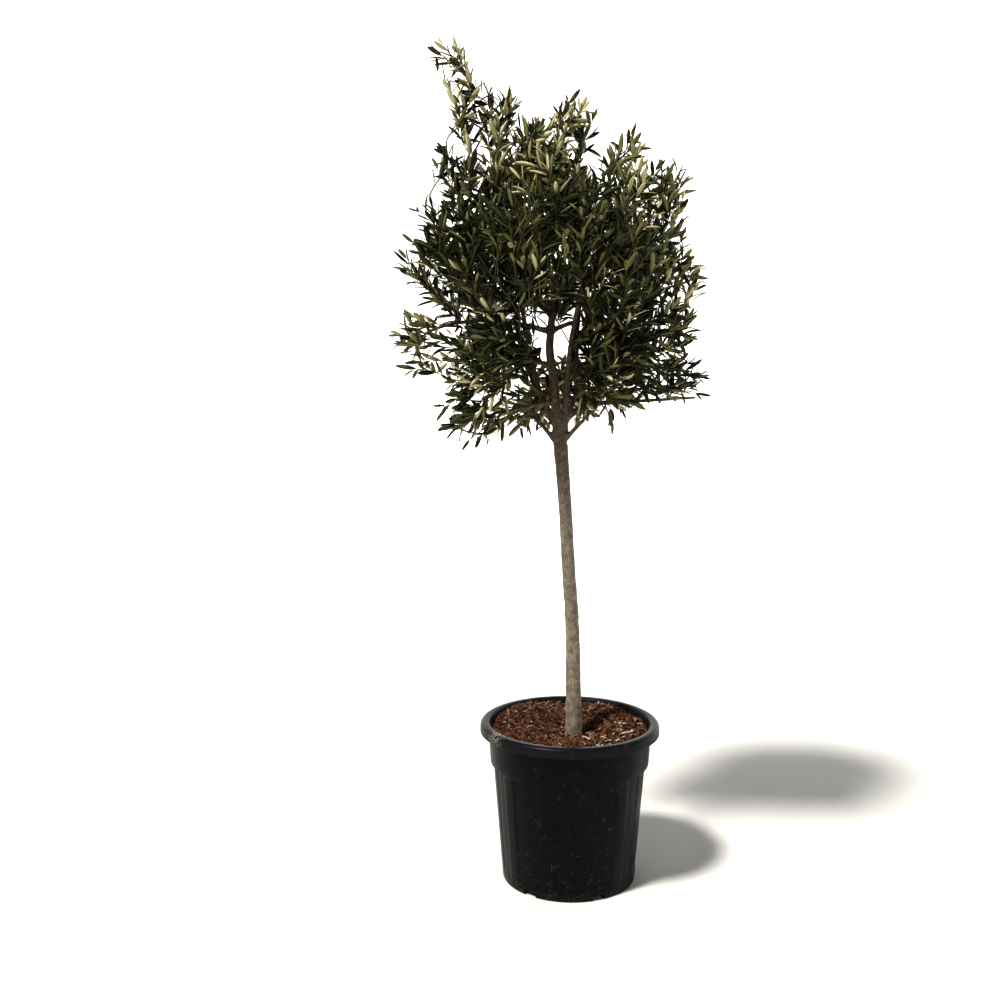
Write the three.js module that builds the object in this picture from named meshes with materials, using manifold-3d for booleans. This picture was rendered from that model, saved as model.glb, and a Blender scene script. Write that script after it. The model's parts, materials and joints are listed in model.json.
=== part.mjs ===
// A young olive tree in a black nursery pot: pot, compost, trunk, main boughs and masses of foliage.
// Millimetres, +Z up. The origin is on the pot's axis, on the level surface that the pot stands on.
// The tree's front is towards -Y.
import * as THREE from 'three';
import { mergeVertices } from 'three/addons/utils/BufferGeometryUtils.js';
import Module from 'manifold-3d';

const wasm = await Module();
wasm.setup();

// ---------------------------------------------------------------------------------------------
// Driving dimensions
// ---------------------------------------------------------------------------------------------

const GAP = 0.3; // clearance between pieces that touch
const ROUND_SIDES = 36; // facets round the pot and the compost

const POT = {
  height: 277,
  baseRadius: 115.5, // outside of the foot, at the bottom
  bodyRadius: 131.8, // outside, just under the collar
  collarBottom: 205, // the wall steps out here
  collarRadius: 137, // outside of the collar, at its lower edge
  rimRadius: 155, // outside of the turned-over rim
  rimDrop: 17, // how far the rim's skirt hangs down
  wall: 2.4,
  floorLift: 9, // the floor stands clear of the ground between its foot ring and its middle disc
  discRadius: 42,
  footRing: 14.5, // width of the ring that the pot stands on
};
const POT_NOTCH = { count: 6, width: 22, firstAngle: 22.5 }; // gaps in the foot ring, for drainage
const POT_HOLE = { count: 6, radius: 5.5, ringRadius: 72 }; // drain holes in the raised floor

const SOIL_LEVEL = 254; // at the foot of the trunk
const SOIL_SEAT = { radius: 36, blend: 40 }; // level round the trunk, then blending into the rest
const SOIL_RISE = 12; // how far the compost lies above SOIL_LEVEL away from the trunk
const SOIL_FEATURES = [
  { x: -70, y: 80, spread: 50, rise: 8 }, // heaped against the back of the pot
  { x: 70, y: 84, spread: 38, rise: 7 }, // a clod at the back right
  { x: 48, y: 6, spread: 24, rise: -12 }, // a hollow beside the trunk
];
const SOIL_LUMPS = { height: 1.8, size: 11 };

// The trunk's middle and radius from the compost up to its fork: upright at first, then leaning to -X.
const TRUNK = [
  { at: [7, 0, SOIL_LEVEL], radius: 14.6 },
  { at: [6.5, 0, 310], radius: 13.5 },
  { at: [5, 1, 400], radius: 12.4 },
  { at: [2.5, 1, 465], radius: 11.9 },
  { at: [-2, 0, 520], radius: 11.6 },
  { at: [-9, 0, 633], radius: 11.3 },
  { at: [-16, 0, 727], radius: 11.8 },
  { at: [-19.5, 0, 768], radius: 13 },
];
const FLARE = { height: 26, extra: 1.2, ribs: 3, ribShare: 0.35 }; // the trunk spreads at its foot
const TRUNK_FACETS = { sides: 12, rings: 16 };

// Each bough runs through its points [x, y, z], and tapers from the first radius to the last.
// A bough named in WHOLE keeps its whole length, and the foliage is cut round it.
const BOUGHS = {
  leader: { path: [[-22, 0, 768], [-28, 0, 831], [-33, 0, 882], [-39, 0, 923], [-34, 0, 964],
    [-31, 2, 1010], [-22, 4, 1060]], radii: [9.5, 5] },
  bough_left_upright: { path: [[-26, 2, 786], [-40, 10, 815], [-58, 26, 857], [-69, 42, 910],
    [-78, 62, 960], [-86, 90, 1010]], radii: [6, 3.6] },
  bough_right_upright: { path: [[-13, -2, 772], [-9, -10, 857], [-5, -26, 915], [0, -52, 955],
    [6, -90, 1000]], radii: [6.4, 3.6] },
  bough_inner_right: { path: [[-9, -6, 805], [4, 2, 826], [8, 12, 880], [11, 26, 948], [16, 40, 1000]],
    radii: [4.2, 3] },
  bough_back: { path: [[-17, 6, 772], [-12, 24, 812], [-6, 60, 850], [-2, 100, 880]], radii: [5.5, 3.6] },
  bough_low_right: { path: [[-16, 0, 790], [6, -3, 812], [30, -5, 824], [82, -6, 828], [148, -6, 832],
    [214, -6, 836]], radii: [5.2, 2.2] },
  bough_fork_right: { path: [[-16, -2, 757], [-2, -8, 776], [14, -20, 794], [34, -34, 815]],
    radii: [4.6, 3] },
  bough_fork_left: { path: [[-24, -1, 757], [-42, 2, 780], [-60, 14, 800], [-84, 20, 812]],
    radii: [4.2, 3] },
  bough_low_left: { path: [[-30, -3, 830], [-64, -8, 822], [-100, -12, 815], [-140, -14, 808]],
    radii: [3.8, 2.6] },
  bough_left_lateral: { path: [[-34, 0, 944], [-71, -3, 954], [-121, -6, 962], [-171, -6, 962],
    [-218, -3, 954], [-250, 0, 940]], radii: [5, 2.4] },
  bough_middle_left: { path: [[-34, 0, 885], [-62, -4, 896], [-92, -6, 893], [-124, -8, 885]],
    radii: [4.2, 2.8] },
  bough_middle_right: { path: [[-36, 0, 945], [-18, -3, 954], [4, -4, 961], [48, -4, 966]],
    radii: [4.4, 3] },
};
const WHOLE = ['bough_low_right', 'bough_left_lateral'];
const BOUGH_SIDES = 6;

// Each mass of foliage: its middle [x, y, z], its half sizes [x, y, z], and the degrees that it leans to -X.
const MASSES = {
  foliage_spire_tip: { at: [-205, -8, 1388], half: [26, 20, 30] },
  foliage_spire: { at: [-171, -8, 1310], half: [36, 34, 64], lean: 20 },
  foliage_left_crest: { at: [-118, 14, 1290], half: [35, 36, 62] },
  foliage_crown_top: { at: [-50, -14, 1232], half: [66, 66, 58] },
  foliage_right_crest: { at: [0, 10, 1288], half: [34, 34, 54], lean: -10 },
  foliage_right_shoot: { at: [90, 0, 1238], half: [25, 22, 44], lean: -14 },
  foliage_left_shoot: { at: [-209, 2, 1212], half: [24, 22, 42], lean: 12 },
  foliage_left_shoulder: { at: [-231, 0, 1143], half: [42, 30, 21], lean: -20 },
  foliage_upper_left: { at: [-138, -22, 1168], half: [72, 72, 66] },
  foliage_upper_middle: { at: [-38, -60, 1165], half: [66, 66, 62] },
  foliage_upper_right: { at: [66, -22, 1164], half: [72, 74, 72] },
  foliage_right_shoulder: { at: [150, 14, 1176], half: [45, 58, 56] },
  foliage_left: { at: [-207, 8, 1068], half: [71, 80, 66] },
  foliage_heart: { at: [-36, 10, 1072], half: [94, 78, 92] },
  foliage_right: { at: [132, 4, 1070], half: [72, 80, 74] },
  foliage_right_knob: { at: [196, 0, 1034], half: [31, 32, 36] },
  foliage_front_left: { at: [-128, -122, 1066], half: [78, 72, 90] },
  foliage_front: { at: [-28, -146, 1082], half: [76, 62, 92] },
  foliage_front_right: { at: [72, -122, 1056], half: [80, 72, 86] },
  foliage_back_top: { at: [-46, 80, 1200], half: [84, 74, 68] },
  foliage_back_left: { at: [-124, 122, 1078], half: [86, 78, 92] },
  foliage_back: { at: [-22, 150, 1084], half: [82, 62, 98] },
  foliage_back_right: { at: [86, 122, 1070], half: [86, 78, 92] },
  foliage_lower_left: { at: [-166, 0, 1002], half: [74, 72, 42] },
  foliage_left_tip: { at: [-262, 0, 922], half: [40, 42, 56] },
  foliage_middle_left: { at: [-156, -8, 892], half: [66, 64, 56] },
  foliage_low_left: { at: [-164, -12, 802], half: [58, 56, 43] },
  foliage_low_middle: { at: [-86, 44, 810], half: [42, 44, 40] },
  foliage_middle_right: { at: [88, 0, 946], half: [80, 72, 60] },
  foliage_right_lower: { at: [158, 14, 966], half: [46, 64, 54] },
  foliage_low_right: { at: [62, -10, 836], half: [59, 56, 48] },
  foliage_right_tip: { at: [172, 0, 868], half: [60, 52, 38] },
  foliage_back_low: { at: [-14, 132, 838], half: [74, 58, 62] },
  foliage_back_low_left: { at: [-128, 102, 922], half: [64, 62, 68] },
  foliage_back_low_right: { at: [84, 106, 900], half: [70, 66, 72] },
  foliage_front_low_left: { at: [-118, -92, 934], half: [52, 50, 52] },
  foliage_front_low_right: { at: [66, -92, 904], half: [56, 50, 58] },
};
const SMALL_MASS = 60; // a mass whose half sizes are all under this gets fewer facets
const UNEVEN = 0.13; // how far a mass swells and sinks, as a share of its radius
const SWELLS = { count: 7, slowest: 2, fastest: 5.5 }; // waves over a mass, in radians from pole to middle
const FIRST_SEED = 911;
const SEED_STEP = 37;

const COLOURS = {
  pot: 0x1b1c1f,
  soil: 0x3d2a22,
  bark: 0x7d7264,
  foliage: [0x2f3518, 0x3a4020, 0x464a2a, 0x545a38],
};

// ---------------------------------------------------------------------------------------------
// Solids
// ---------------------------------------------------------------------------------------------

/** A manifold solid of a three.js geometry whose surface is closed. */
function solidOf(geometry) {
  const bare = geometry.clone();
  bare.deleteAttribute('normal');
  bare.deleteAttribute('uv');
  const merged = mergeVertices(bare, 1e-4);
  return new wasm.Manifold(new wasm.Mesh({
    numProp: 3,
    vertProperties: new Float32Array(merged.attributes.position.array),
    triVerts: new Uint32Array(merged.index.array),
  }));
}

/** The three.js geometry of a manifold solid. */
function geometryOf(solid) {
  const mesh = solid.getMesh();
  const geometry = new THREE.BufferGeometry();
  geometry.setAttribute('position', new THREE.BufferAttribute(mesh.vertProperties, 3));
  geometry.setIndex(new THREE.BufferAttribute(mesh.triVerts, 1));
  return geometry;
}

/** The separate piece of a solid that holds the most material. */
function largestPiece(solid) {
  return solid.decompose().reduce((best, piece) => (piece.volume() > best.volume() ? piece : best));
}

/** A solid turned about Z from an outline of [radius, height] points that starts and ends on the axis. */
function turned(outline) {
  const points = outline.map(([radius, height]) => new THREE.Vector2(radius, height));
  return new THREE.LatheGeometry(points, ROUND_SIDES).rotateX(Math.PI / 2);
}

/** A closed tube along a smooth path; radiusAt(along, angle) takes 0 to 1 along it and an angle round it. */
function limb({ path, radiusAt, sides, rings, levelFoot = false }) {
  const curve = new THREE.CatmullRomCurve3(path.map((point) => new THREE.Vector3(...point)));
  const positions = [];
  const indices = [];
  for (let ring = 0; ring <= rings; ring += 1) {
    const along = ring / rings;
    const middle = curve.getPointAt(along);
    const tangent = levelFoot && ring === 0 ? new THREE.Vector3(0, 0, 1) : curve.getTangentAt(along);
    const side = new THREE.Vector3(0, 1, 0).cross(tangent).normalize();
    const up = tangent.clone().cross(side);
    for (let spoke = 0; spoke < sides; spoke += 1) {
      const angle = (spoke / sides) * 2 * Math.PI;
      const radius = radiusAt(along, angle);
      const corner = middle.clone()
        .addScaledVector(side, radius * Math.cos(angle))
        .addScaledVector(up, radius * Math.sin(angle));
      positions.push(...corner.toArray());
    }
  }
  for (let ring = 0; ring < rings; ring += 1) {
    for (let spoke = 0; spoke < sides; spoke += 1) {
      const low = ring * sides;
      const next = (spoke + 1) % sides;
      indices.push(low + spoke, low + next, low + sides + next);
      indices.push(low + spoke, low + sides + next, low + sides + spoke);
    }
  }
  const last = rings * sides;
  for (let spoke = 1; spoke < sides - 1; spoke += 1) {
    indices.push(0, spoke + 1, spoke, last, last + spoke, last + spoke + 1);
  }
  const geometry = new THREE.BufferGeometry();
  geometry.setAttribute('position', new THREE.Float32BufferAttribute(positions, 3));
  geometry.setIndex(indices);
  return geometry;
}

// ---------------------------------------------------------------------------------------------
// Pot and compost
// ---------------------------------------------------------------------------------------------

/** The pot's inner wall as [radius, height] points from its floor up to its mouth, moved in by inset. */
function innerWall(inset) {
  const floorTop = POT.floorLift + POT.wall;
  const wall = POT.wall + inset;
  return [
    [POT.baseRadius - wall, floorTop + inset],
    [POT.bodyRadius - wall, POT.collarBottom - 0.5],
    [POT.collarRadius - wall, POT.collarBottom + 3.5],
    [POT.collarRadius + 2 - wall, POT.height - 12],
  ];
}

/** The nursery pot: a tapered wall with a collar, a turned-over rim and a raised floor with drain holes. */
function buildPot() {
  const { height, wall, rimRadius, collarBottom, collarRadius, bodyRadius, baseRadius } = POT;
  const skirtBottom = height - POT.rimDrop;
  const throat = collarRadius + 3;
  const floorTop = POT.floorLift + wall;
  const outline = [
    [0, 0],
    [POT.discRadius, 0],
    [POT.discRadius + 4, POT.floorLift],
    [baseRadius - POT.footRing - 4, POT.floorLift],
    [baseRadius - POT.footRing, 0],
    [baseRadius, 0],
    [bodyRadius, collarBottom - 2],
    [collarRadius, collarBottom + 1],
    [throat + 1, skirtBottom],
    [throat + 1.5, height - 3],
    [rimRadius - wall - 1.5, height - 3],
    [rimRadius - wall, skirtBottom],
    [rimRadius, skirtBottom],
    [rimRadius - 0.8, height - 8],
    [rimRadius - 3, height - 1.5],
    [rimRadius - 5.5, height],
    [throat + 0.5, height],
    [throat - 1.4, height - 2],
    ...innerWall(0).reverse(),
    [0, floorTop],
  ];
  let pot = solidOf(turned(outline));
  for (let count = 0; count < POT_NOTCH.count; count += 1) {
    const notch = new THREE.BoxGeometry(POT_NOTCH.width, POT.footRing + 16, POT.floorLift * 2)
      .translate(0, -(baseRadius - POT.footRing / 2), 0)
      .rotateZ(THREE.MathUtils.degToRad(POT_NOTCH.firstAngle + (360 / POT_NOTCH.count) * count));
    pot = pot.subtract(solidOf(notch));
  }
  for (let count = 0; count < POT_HOLE.count; count += 1) {
    const hole = new THREE.CylinderGeometry(POT_HOLE.radius, POT_HOLE.radius, floorTop * 2, 8)
      .rotateX(Math.PI / 2)
      .translate(0, -POT_HOLE.ringRadius, floorTop)
      .rotateZ(THREE.MathUtils.degToRad(POT_NOTCH.firstAngle + (360 / POT_HOLE.count) * (count + 0.5)));
    pot = pot.subtract(solidOf(hole));
  }
  return pot;
}

/** How far the compost lies above SOIL_LEVEL at a place: nothing at the trunk's foot, uneven elsewhere. */
function soilHeight(x, y) {
  const [footX, footY] = TRUNK[0].at;
  const beyondSeat = (Math.hypot(x - footX, y - footY) - SOIL_SEAT.radius) / SOIL_SEAT.blend;
  const features = SOIL_FEATURES.reduce((sum, { x: middleX, y: middleY, spread, rise }) => (
    sum + rise * Math.exp(-(((x - middleX) ** 2 + (y - middleY) ** 2) / spread ** 2))), 0);
  const lumps = SOIL_LUMPS.height * Math.sin(x / SOIL_LUMPS.size) * Math.cos(y / SOIL_LUMPS.size);
  return THREE.MathUtils.clamp(beyondSeat, 0, 1) * (SOIL_RISE + features + lumps);
}

/** The compost that fills the pot, with an uneven top and a level seat under the trunk. */
function buildSoil() {
  const wall = innerWall(GAP * 1.5);
  const [mouthRadius, mouthHeight] = wall.at(-1);
  const [collarR, collarZ] = wall.at(-2);
  const topEdge = SOIL_LEVEL + 4;
  const edgeRadius = collarR + ((mouthRadius - collarR) * (topEdge - collarZ)) / (mouthHeight - collarZ);
  const rings = [1, 0.86, 0.7, 0.53, 0.36, 0.2].map((share) => [edgeRadius * share - 0.4, topEdge]);
  const outline = [[0, wall[0][1]], ...wall.slice(0, -1), ...rings, [0, topEdge]];
  const geometry = mergeVertices(turned(outline).deleteAttribute('normal').deleteAttribute('uv'), 1e-4);
  const place = geometry.attributes.position;
  for (let index = 0; index < place.count; index += 1) {
    if (Math.abs(place.getZ(index) - topEdge) < 1e-3) {
      place.setZ(index, SOIL_LEVEL - GAP + soilHeight(place.getX(index), place.getY(index)));
    }
  }
  return solidOf(geometry);
}

// ---------------------------------------------------------------------------------------------
// Trunk and boughs
// ---------------------------------------------------------------------------------------------

/** The trunk, from a flat cut at the compost to its fork; grow makes it fatter all round. */
function trunkShape(grow) {
  const foot = TRUNK[0].at[2];
  const length = TRUNK.at(-1).at[2] - foot;
  const radiusAt = (along, angle) => {
    const height = foot + along * length;
    const upper = Math.max(1, TRUNK.findIndex(({ at }) => at[2] >= height - 1e-6));
    const [below, above] = [TRUNK[upper - 1], TRUNK[upper]];
    const share = (height - below.at[2]) / (above.at[2] - below.at[2]);
    const flare = FLARE.extra * Math.max(0, 1 - (height - foot) / FLARE.height) ** 2;
    return THREE.MathUtils.lerp(below.radius, above.radius, share) + grow
      + flare * (1 + FLARE.ribShare * Math.cos(FLARE.ribs * angle));
  };
  return solidOf(limb({ path: TRUNK.map(({ at }) => at), radiusAt, ...TRUNK_FACETS, levelFoot: true }));
}

/** One bough as a tapering limb; grow makes it fatter all round. */
function boughShape({ path, radii }, grow) {
  const radiusAt = (along) => THREE.MathUtils.lerp(...radii, along) + grow;
  return solidOf(limb({ path, radiusAt, sides: BOUGH_SIDES, rings: path.length + 1 }));
}

/** The separate piece of a solid whose box comes nearest to a point. */
function nearestPiece(solid, point) {
  const distance = (piece) => {
    const { min, max } = piece.boundingBox();
    return Math.hypot(...point.map((value, axis) => Math.max(min[axis] - value, 0, value - max[axis])));
  };
  return solid.decompose().reduce((best, piece) => (distance(piece) < distance(best) ? piece : best));
}

/** Cuts every bough by the trunk and by the boughs before it, and ends it where foliage starts. */
function buildBoughs(masses) {
  const boughs = {};
  let wood = trunkShape(GAP);
  for (const [name, bough] of Object.entries(BOUGHS)) {
    let solid = boughShape(bough, 0).subtract(wood);
    if (!WHOLE.includes(name)) {
      for (const mass of Object.values(masses)) solid = solid.subtract(mass);
    }
    boughs[name] = nearestPiece(solid, bough.path[0]);
    wood = wood.add(boughShape(bough, GAP));
  }
  return boughs;
}

// ---------------------------------------------------------------------------------------------
// Masses of foliage
// ---------------------------------------------------------------------------------------------

/** A repeatable stream of numbers from 0 to 1. */
function seeded(seed) {
  let state = seed;
  return () => {
    state = (state * 16807) % 2147483647;
    return state / 2147483647;
  };
}

/** How far an ellipsoid's surface lies from its middle along a direction. */
function reachAlong({ half, lean = 0 }, direction) {
  const level = direction.clone().applyAxisAngle(new THREE.Vector3(0, 1, 0), THREE.MathUtils.degToRad(lean));
  return 1 / Math.hypot(level.x / half[0], level.y / half[1], level.z / half[2]);
}

/** The planes that part a mass from the others, each as a direction out and a distance from its middle. */
function partingPlanes(mass) {
  const middle = new THREE.Vector3(...mass.at);
  return Object.values(MASSES).filter((other) => other !== mass).map((other) => {
    const out = new THREE.Vector3(...other.at).sub(middle);
    const apart = out.length();
    out.normalize();
    const mine = reachAlong(mass, out);
    const share = mine / (mine + reachAlong(other, out));
    return { out, distance: apart * share - GAP };
  });
}

/** One mass as a closed, uneven solid that stays on its own side of every parting plane. */
function massShape(mass, seed) {
  const random = seeded(seed);
  const detail = Math.max(...mass.half) < SMALL_MASS ? 1 : 2;
  const shape = new THREE.IcosahedronGeometry(1, detail);
  shape.deleteAttribute('normal');
  shape.deleteAttribute('uv');
  const geometry = mergeVertices(shape, 1e-4);
  const waves = Array.from({ length: SWELLS.count }, () => ({
    along: new THREE.Vector3(random() - 0.5, random() - 0.5, random() - 0.5)
      .setLength(THREE.MathUtils.lerp(SWELLS.slowest, SWELLS.fastest, random())),
    phase: 2 * Math.PI * random(),
  }));
  const planes = partingPlanes(mass);
  const place = geometry.attributes.position;
  const direction = new THREE.Vector3();
  for (let index = 0; index < place.count; index += 1) {
    direction.fromBufferAttribute(place, index).normalize();
    const swell = waves.reduce((sum, wave) => sum + Math.sin(wave.along.dot(direction) + wave.phase), 0);
    let radius = reachAlong(mass, direction) * (1 + (UNEVEN * swell) / Math.sqrt(waves.length));
    for (const { out, distance } of planes) {
      const towards = out.dot(direction);
      if (towards > 1e-6) radius = Math.min(radius, distance / towards);
    }
    place.setXYZ(index, ...direction.multiplyScalar(radius).add(new THREE.Vector3(...mass.at)).toArray());
  }
  return solidOf(geometry);
}

// ---------------------------------------------------------------------------------------------
// Assembly
// ---------------------------------------------------------------------------------------------

/** Names a solid as one mesh of its own colour. */
function named(name, solid, color, roughness) {
  const material = new THREE.MeshStandardMaterial({ color, roughness, metalness: 0 });
  const mesh = new THREE.Mesh(geometryOf(solid), material);
  mesh.name = name;
  return mesh;
}

const tree = new THREE.Group();
tree.add(named('pot', buildPot(), COLOURS.pot, 0.45));
tree.add(named('soil', buildSoil(), COLOURS.soil, 0.95));
tree.add(named('trunk', trunkShape(0), COLOURS.bark, 0.8));

const masses = {};
Object.entries(MASSES).forEach(([name, mass], index) => {
  let solid = massShape(mass, FIRST_SEED + SEED_STEP * index);
  for (const bough of WHOLE) solid = largestPiece(solid.subtract(boughShape(BOUGHS[bough], GAP)));
  masses[name] = solid;
  tree.add(named(name, solid, COLOURS.foliage[index % COLOURS.foliage.length], 0.7));
});
for (const [name, solid] of Object.entries(buildBoughs(masses))) {
  tree.add(named(name, solid, COLOURS.bark, 0.8));
}

export default tree;
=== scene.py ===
"""A young olive tree on a clear trunk, in a black nursery pot.

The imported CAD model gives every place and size. Round it this script makes the pot's moulded detail, the
loose compost, the barked wood, and the crown: in each CAD mass of foliage, limbs, shoots, twigs and leaves
that grow on from the boughs by a seeded rule.
"""

import json
import logging
import math
from collections.abc import Iterable
from dataclasses import dataclass, field
from enum import Enum

import bmesh
import bpy
import numpy as np
from bpy.types import Collection, Light, Material, Mesh, Node, NodeSocket, NodeTree, Object
from mathutils import Euler, Matrix, Vector, noise
from mathutils.bvhtree import BVHTree

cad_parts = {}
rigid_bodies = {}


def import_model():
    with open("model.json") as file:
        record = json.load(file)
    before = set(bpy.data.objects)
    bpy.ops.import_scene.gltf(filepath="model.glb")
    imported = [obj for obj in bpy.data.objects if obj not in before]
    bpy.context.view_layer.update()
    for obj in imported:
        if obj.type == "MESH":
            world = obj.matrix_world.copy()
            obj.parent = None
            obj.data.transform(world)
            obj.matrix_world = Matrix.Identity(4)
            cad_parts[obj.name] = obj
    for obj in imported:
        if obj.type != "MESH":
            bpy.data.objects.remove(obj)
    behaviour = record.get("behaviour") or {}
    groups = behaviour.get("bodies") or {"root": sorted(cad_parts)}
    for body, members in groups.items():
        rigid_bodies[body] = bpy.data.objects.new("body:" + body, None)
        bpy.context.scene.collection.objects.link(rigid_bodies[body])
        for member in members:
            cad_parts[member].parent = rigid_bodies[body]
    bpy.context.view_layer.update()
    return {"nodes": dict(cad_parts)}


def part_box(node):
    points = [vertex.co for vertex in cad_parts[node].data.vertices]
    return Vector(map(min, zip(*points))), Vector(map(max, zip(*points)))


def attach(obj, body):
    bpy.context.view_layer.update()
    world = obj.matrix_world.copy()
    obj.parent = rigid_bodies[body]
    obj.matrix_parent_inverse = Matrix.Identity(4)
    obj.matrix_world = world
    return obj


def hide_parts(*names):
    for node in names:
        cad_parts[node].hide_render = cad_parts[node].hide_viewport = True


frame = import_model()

LOG = logging.getLogger("olive")
BODY = "root"
MM = 0.001
UP = np.array([0.0, 0.0, 1.0])
SOIL_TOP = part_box("trunk")[0][2]

TINY = 1e-9
CURVE_STEPS = 12
SKIN_THINNEST = 1.75 * MM

MIX = "ShaderNodeMix"
MATH = "ShaderNodeMath"
RANGE = "ShaderNodeMapRange"
RAMP = "ShaderNodeValToRGB"
NOISE = "ShaderNodeTexNoise"
CELLS = "ShaderNodeTexVoronoi"
BUMP = "ShaderNodeBump"
MAPPING = "ShaderNodeMapping"
TEXTURE_PLACE = "ShaderNodeTexCoord"
AXES = "ShaderNodeSeparateXYZ"
DISTANCE = "ShaderNodeVectorMath"
VECTOR = "ShaderNodeCombineXYZ"
TRANSFORM = "GeometryNodeTransform"
ATTRIBUTE = "GeometryNodeInputNamedAttribute"
SHAPES = "GeometryNodeCollectionInfo"
COPIES = "GeometryNodeInstanceOnPoints"
REALIZE = "GeometryNodeRealizeInstances"
DRESS = "GeometryNodeSetMaterial"
OUTPUT = "NodeGroupOutput"
RANDOM = "FunctionNodeRandomValue"


# --- Small tools ---


def linear(code: str) -> tuple[float, float, float, float]:
    """Turns an sRGB hex colour into linear RGBA.

    Args:
        code: The colour as "#rrggbb".

    Returns:
        Linear red, green and blue, and an alpha of 1.
    """
    parts = [int(code[place : place + 2], 16) / 255 for place in (1, 3, 5)]
    red, green, blue = (
        part / 12.92 if part <= 0.04045 else ((part + 0.055) / 1.055) ** 2.4 for part in parts
    )
    return (red, green, blue, 1.0)


def add(tree: NodeTree, kind: str, inputs: dict | None = None, **settings: object) -> Node:
    """Adds one node to a tree, with its settings, values and links.

    Args:
        tree: The shader or geometry tree.
        kind: The node's type name.
        inputs: What goes into each input, by its name or number: another node's output socket, or a value.
        **settings: The node's own settings.

    Returns:
        The new node.
    """
    node = tree.nodes.new(kind)
    for name, value in settings.items():
        setattr(node, name, value)
    for key, value in (inputs or {}).items():
        if isinstance(value, NodeSocket):
            tree.links.new(value, node.inputs[key])
        else:
            node.inputs[key].default_value = value
    return node


def unit(vector: np.ndarray) -> np.ndarray:
    """The vector scaled to a length of 1."""
    return vector / max(float(np.linalg.norm(vector)), TINY)


def across(axis: np.ndarray, angle: float) -> np.ndarray:
    """A unit vector square to an axis.

    Args:
        axis: The axis, of length 1.
        angle: How far the vector is turned round it, in radians.

    Returns:
        The vector.
    """
    helper = np.array([1.0, 0.0, 0.0]) if abs(axis[0]) < 0.8 else np.array([0.0, 1.0, 0.0])
    first = unit(np.cross(axis, helper))
    return math.cos(angle) * first + math.sin(angle) * np.cross(axis, first)


def distances(points: np.ndarray) -> np.ndarray:
    """How far along a line each of its points lies from the first."""
    return np.concatenate([[0], np.cumsum(np.linalg.norm(np.diff(points, axis=0), axis=1))])


def interpolated(mark: float, marks: np.ndarray, values: np.ndarray) -> np.ndarray:
    """The row of values at a mark between the marks that the rows stand at."""
    return np.array([np.interp(mark, marks, values[:, axis]) for axis in range(3)])


def ring(radius: float, height: float, count: int) -> list[tuple[float, float, float]]:
    """The places of points on a level ring round the origin, anticlockwise from the right."""
    angles = [2 * math.pi * point / count for point in range(count)]
    return [(radius * math.cos(angle), radius * math.sin(angle), height) for angle in angles]


def shape_set(name: str, meshes: Iterable[Mesh]) -> Collection:
    """A collection of shapes for a Geometry Nodes rule to pick from.

    Args:
        name: The collection's name.
        meshes: The shapes, in the order that they are picked by.

    Returns:
        The collection.
    """
    shapes = bpy.data.collections.new(name)
    for number, mesh in enumerate(meshes):
        shapes.objects.link(bpy.data.objects.new(f"shape_{number}", mesh))
    return shapes


def discard(shapes: Collection) -> None:
    """Removes a collection of shapes that the rules are done with."""
    for shape in list(shapes.objects):
        bpy.data.objects.remove(shape)
    bpy.data.collections.remove(shapes)


def new_object(name: str, mesh: Mesh) -> Object:
    """Puts a mesh in the scene as an object at the origin.

    Args:
        name: The object's name.
        mesh: Its mesh.

    Returns:
        The object.
    """
    piece = bpy.data.objects.new(name, mesh)
    bpy.context.scene.collection.objects.link(piece)
    return piece


def mesh_of(name: str, corners: Iterable, faces: Iterable, smooth: bool = True) -> Mesh:
    """A mesh from its corners and faces.

    Args:
        name: The mesh's name.
        corners: The place of each corner.
        faces: The numbers of each face's corners, anticlockwise as seen from outside.
        smooth: Whether shading runs on over its edges.

    Returns:
        The mesh.
    """
    mesh = bpy.data.meshes.new(name)
    mesh.from_pydata([tuple(corner) for corner in corners], [], [tuple(face) for face in faces])
    if smooth:
        mesh.shade_smooth()
    else:
        mesh.shade_flat()
    return mesh


def nodes_tree(name: str, inputs: dict[str, str]) -> tuple[NodeTree, Node]:
    """Starts a Geometry Nodes tree with one geometry in and one out.

    Args:
        name: The tree's name.
        inputs: Each further input's name and socket type.

    Returns:
        The tree and its Group Input node.
    """
    tree = bpy.data.node_groups.new(name, "GeometryNodeTree")
    tree.interface.new_socket("Geometry", in_out="INPUT", socket_type="NodeSocketGeometry")
    for label, socket in inputs.items():
        tree.interface.new_socket(label, in_out="INPUT", socket_type=socket)
    tree.interface.new_socket("Geometry", in_out="OUTPUT", socket_type="NodeSocketGeometry")
    return tree, add(tree, "NodeGroupInput")


def end_tree(tree: NodeTree, flow: NodeSocket, material: NodeSocket) -> None:
    """Ends a Geometry Nodes tree: its instances made real, then one material, then the output.

    Args:
        tree: The tree.
        flow: The geometry so far.
        material: The socket of its material.
    """
    real = add(tree, REALIZE, {0: flow})
    dressed = add(tree, DRESS, {"Geometry": real.outputs[0], "Material": material})
    add(tree, OUTPUT, {0: dressed.outputs[0]})


def run_nodes(name: str, mesh: Mesh, tree: NodeTree, values: dict) -> Object:
    """Runs a Geometry Nodes tree on a mesh, and keeps the result as a plain mesh.

    Args:
        name: The new piece's name.
        mesh: What the tree starts from.
        tree: The tree, whose instances are realized.
        values: A value for each of the tree's named inputs.

    Returns:
        The piece, at the origin and with no modifier.
    """
    carrier = new_object(name + "_carrier", mesh)
    modifier = carrier.modifiers.new("rule", "NODES")
    modifier.node_group = tree
    for item in tree.interface.items_tree:
        if item.in_out == "INPUT" and item.name in values:
            modifier[item.identifier] = values[item.name]
    piece = settled(name, carrier)
    bpy.data.node_groups.remove(tree)
    return piece


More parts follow.
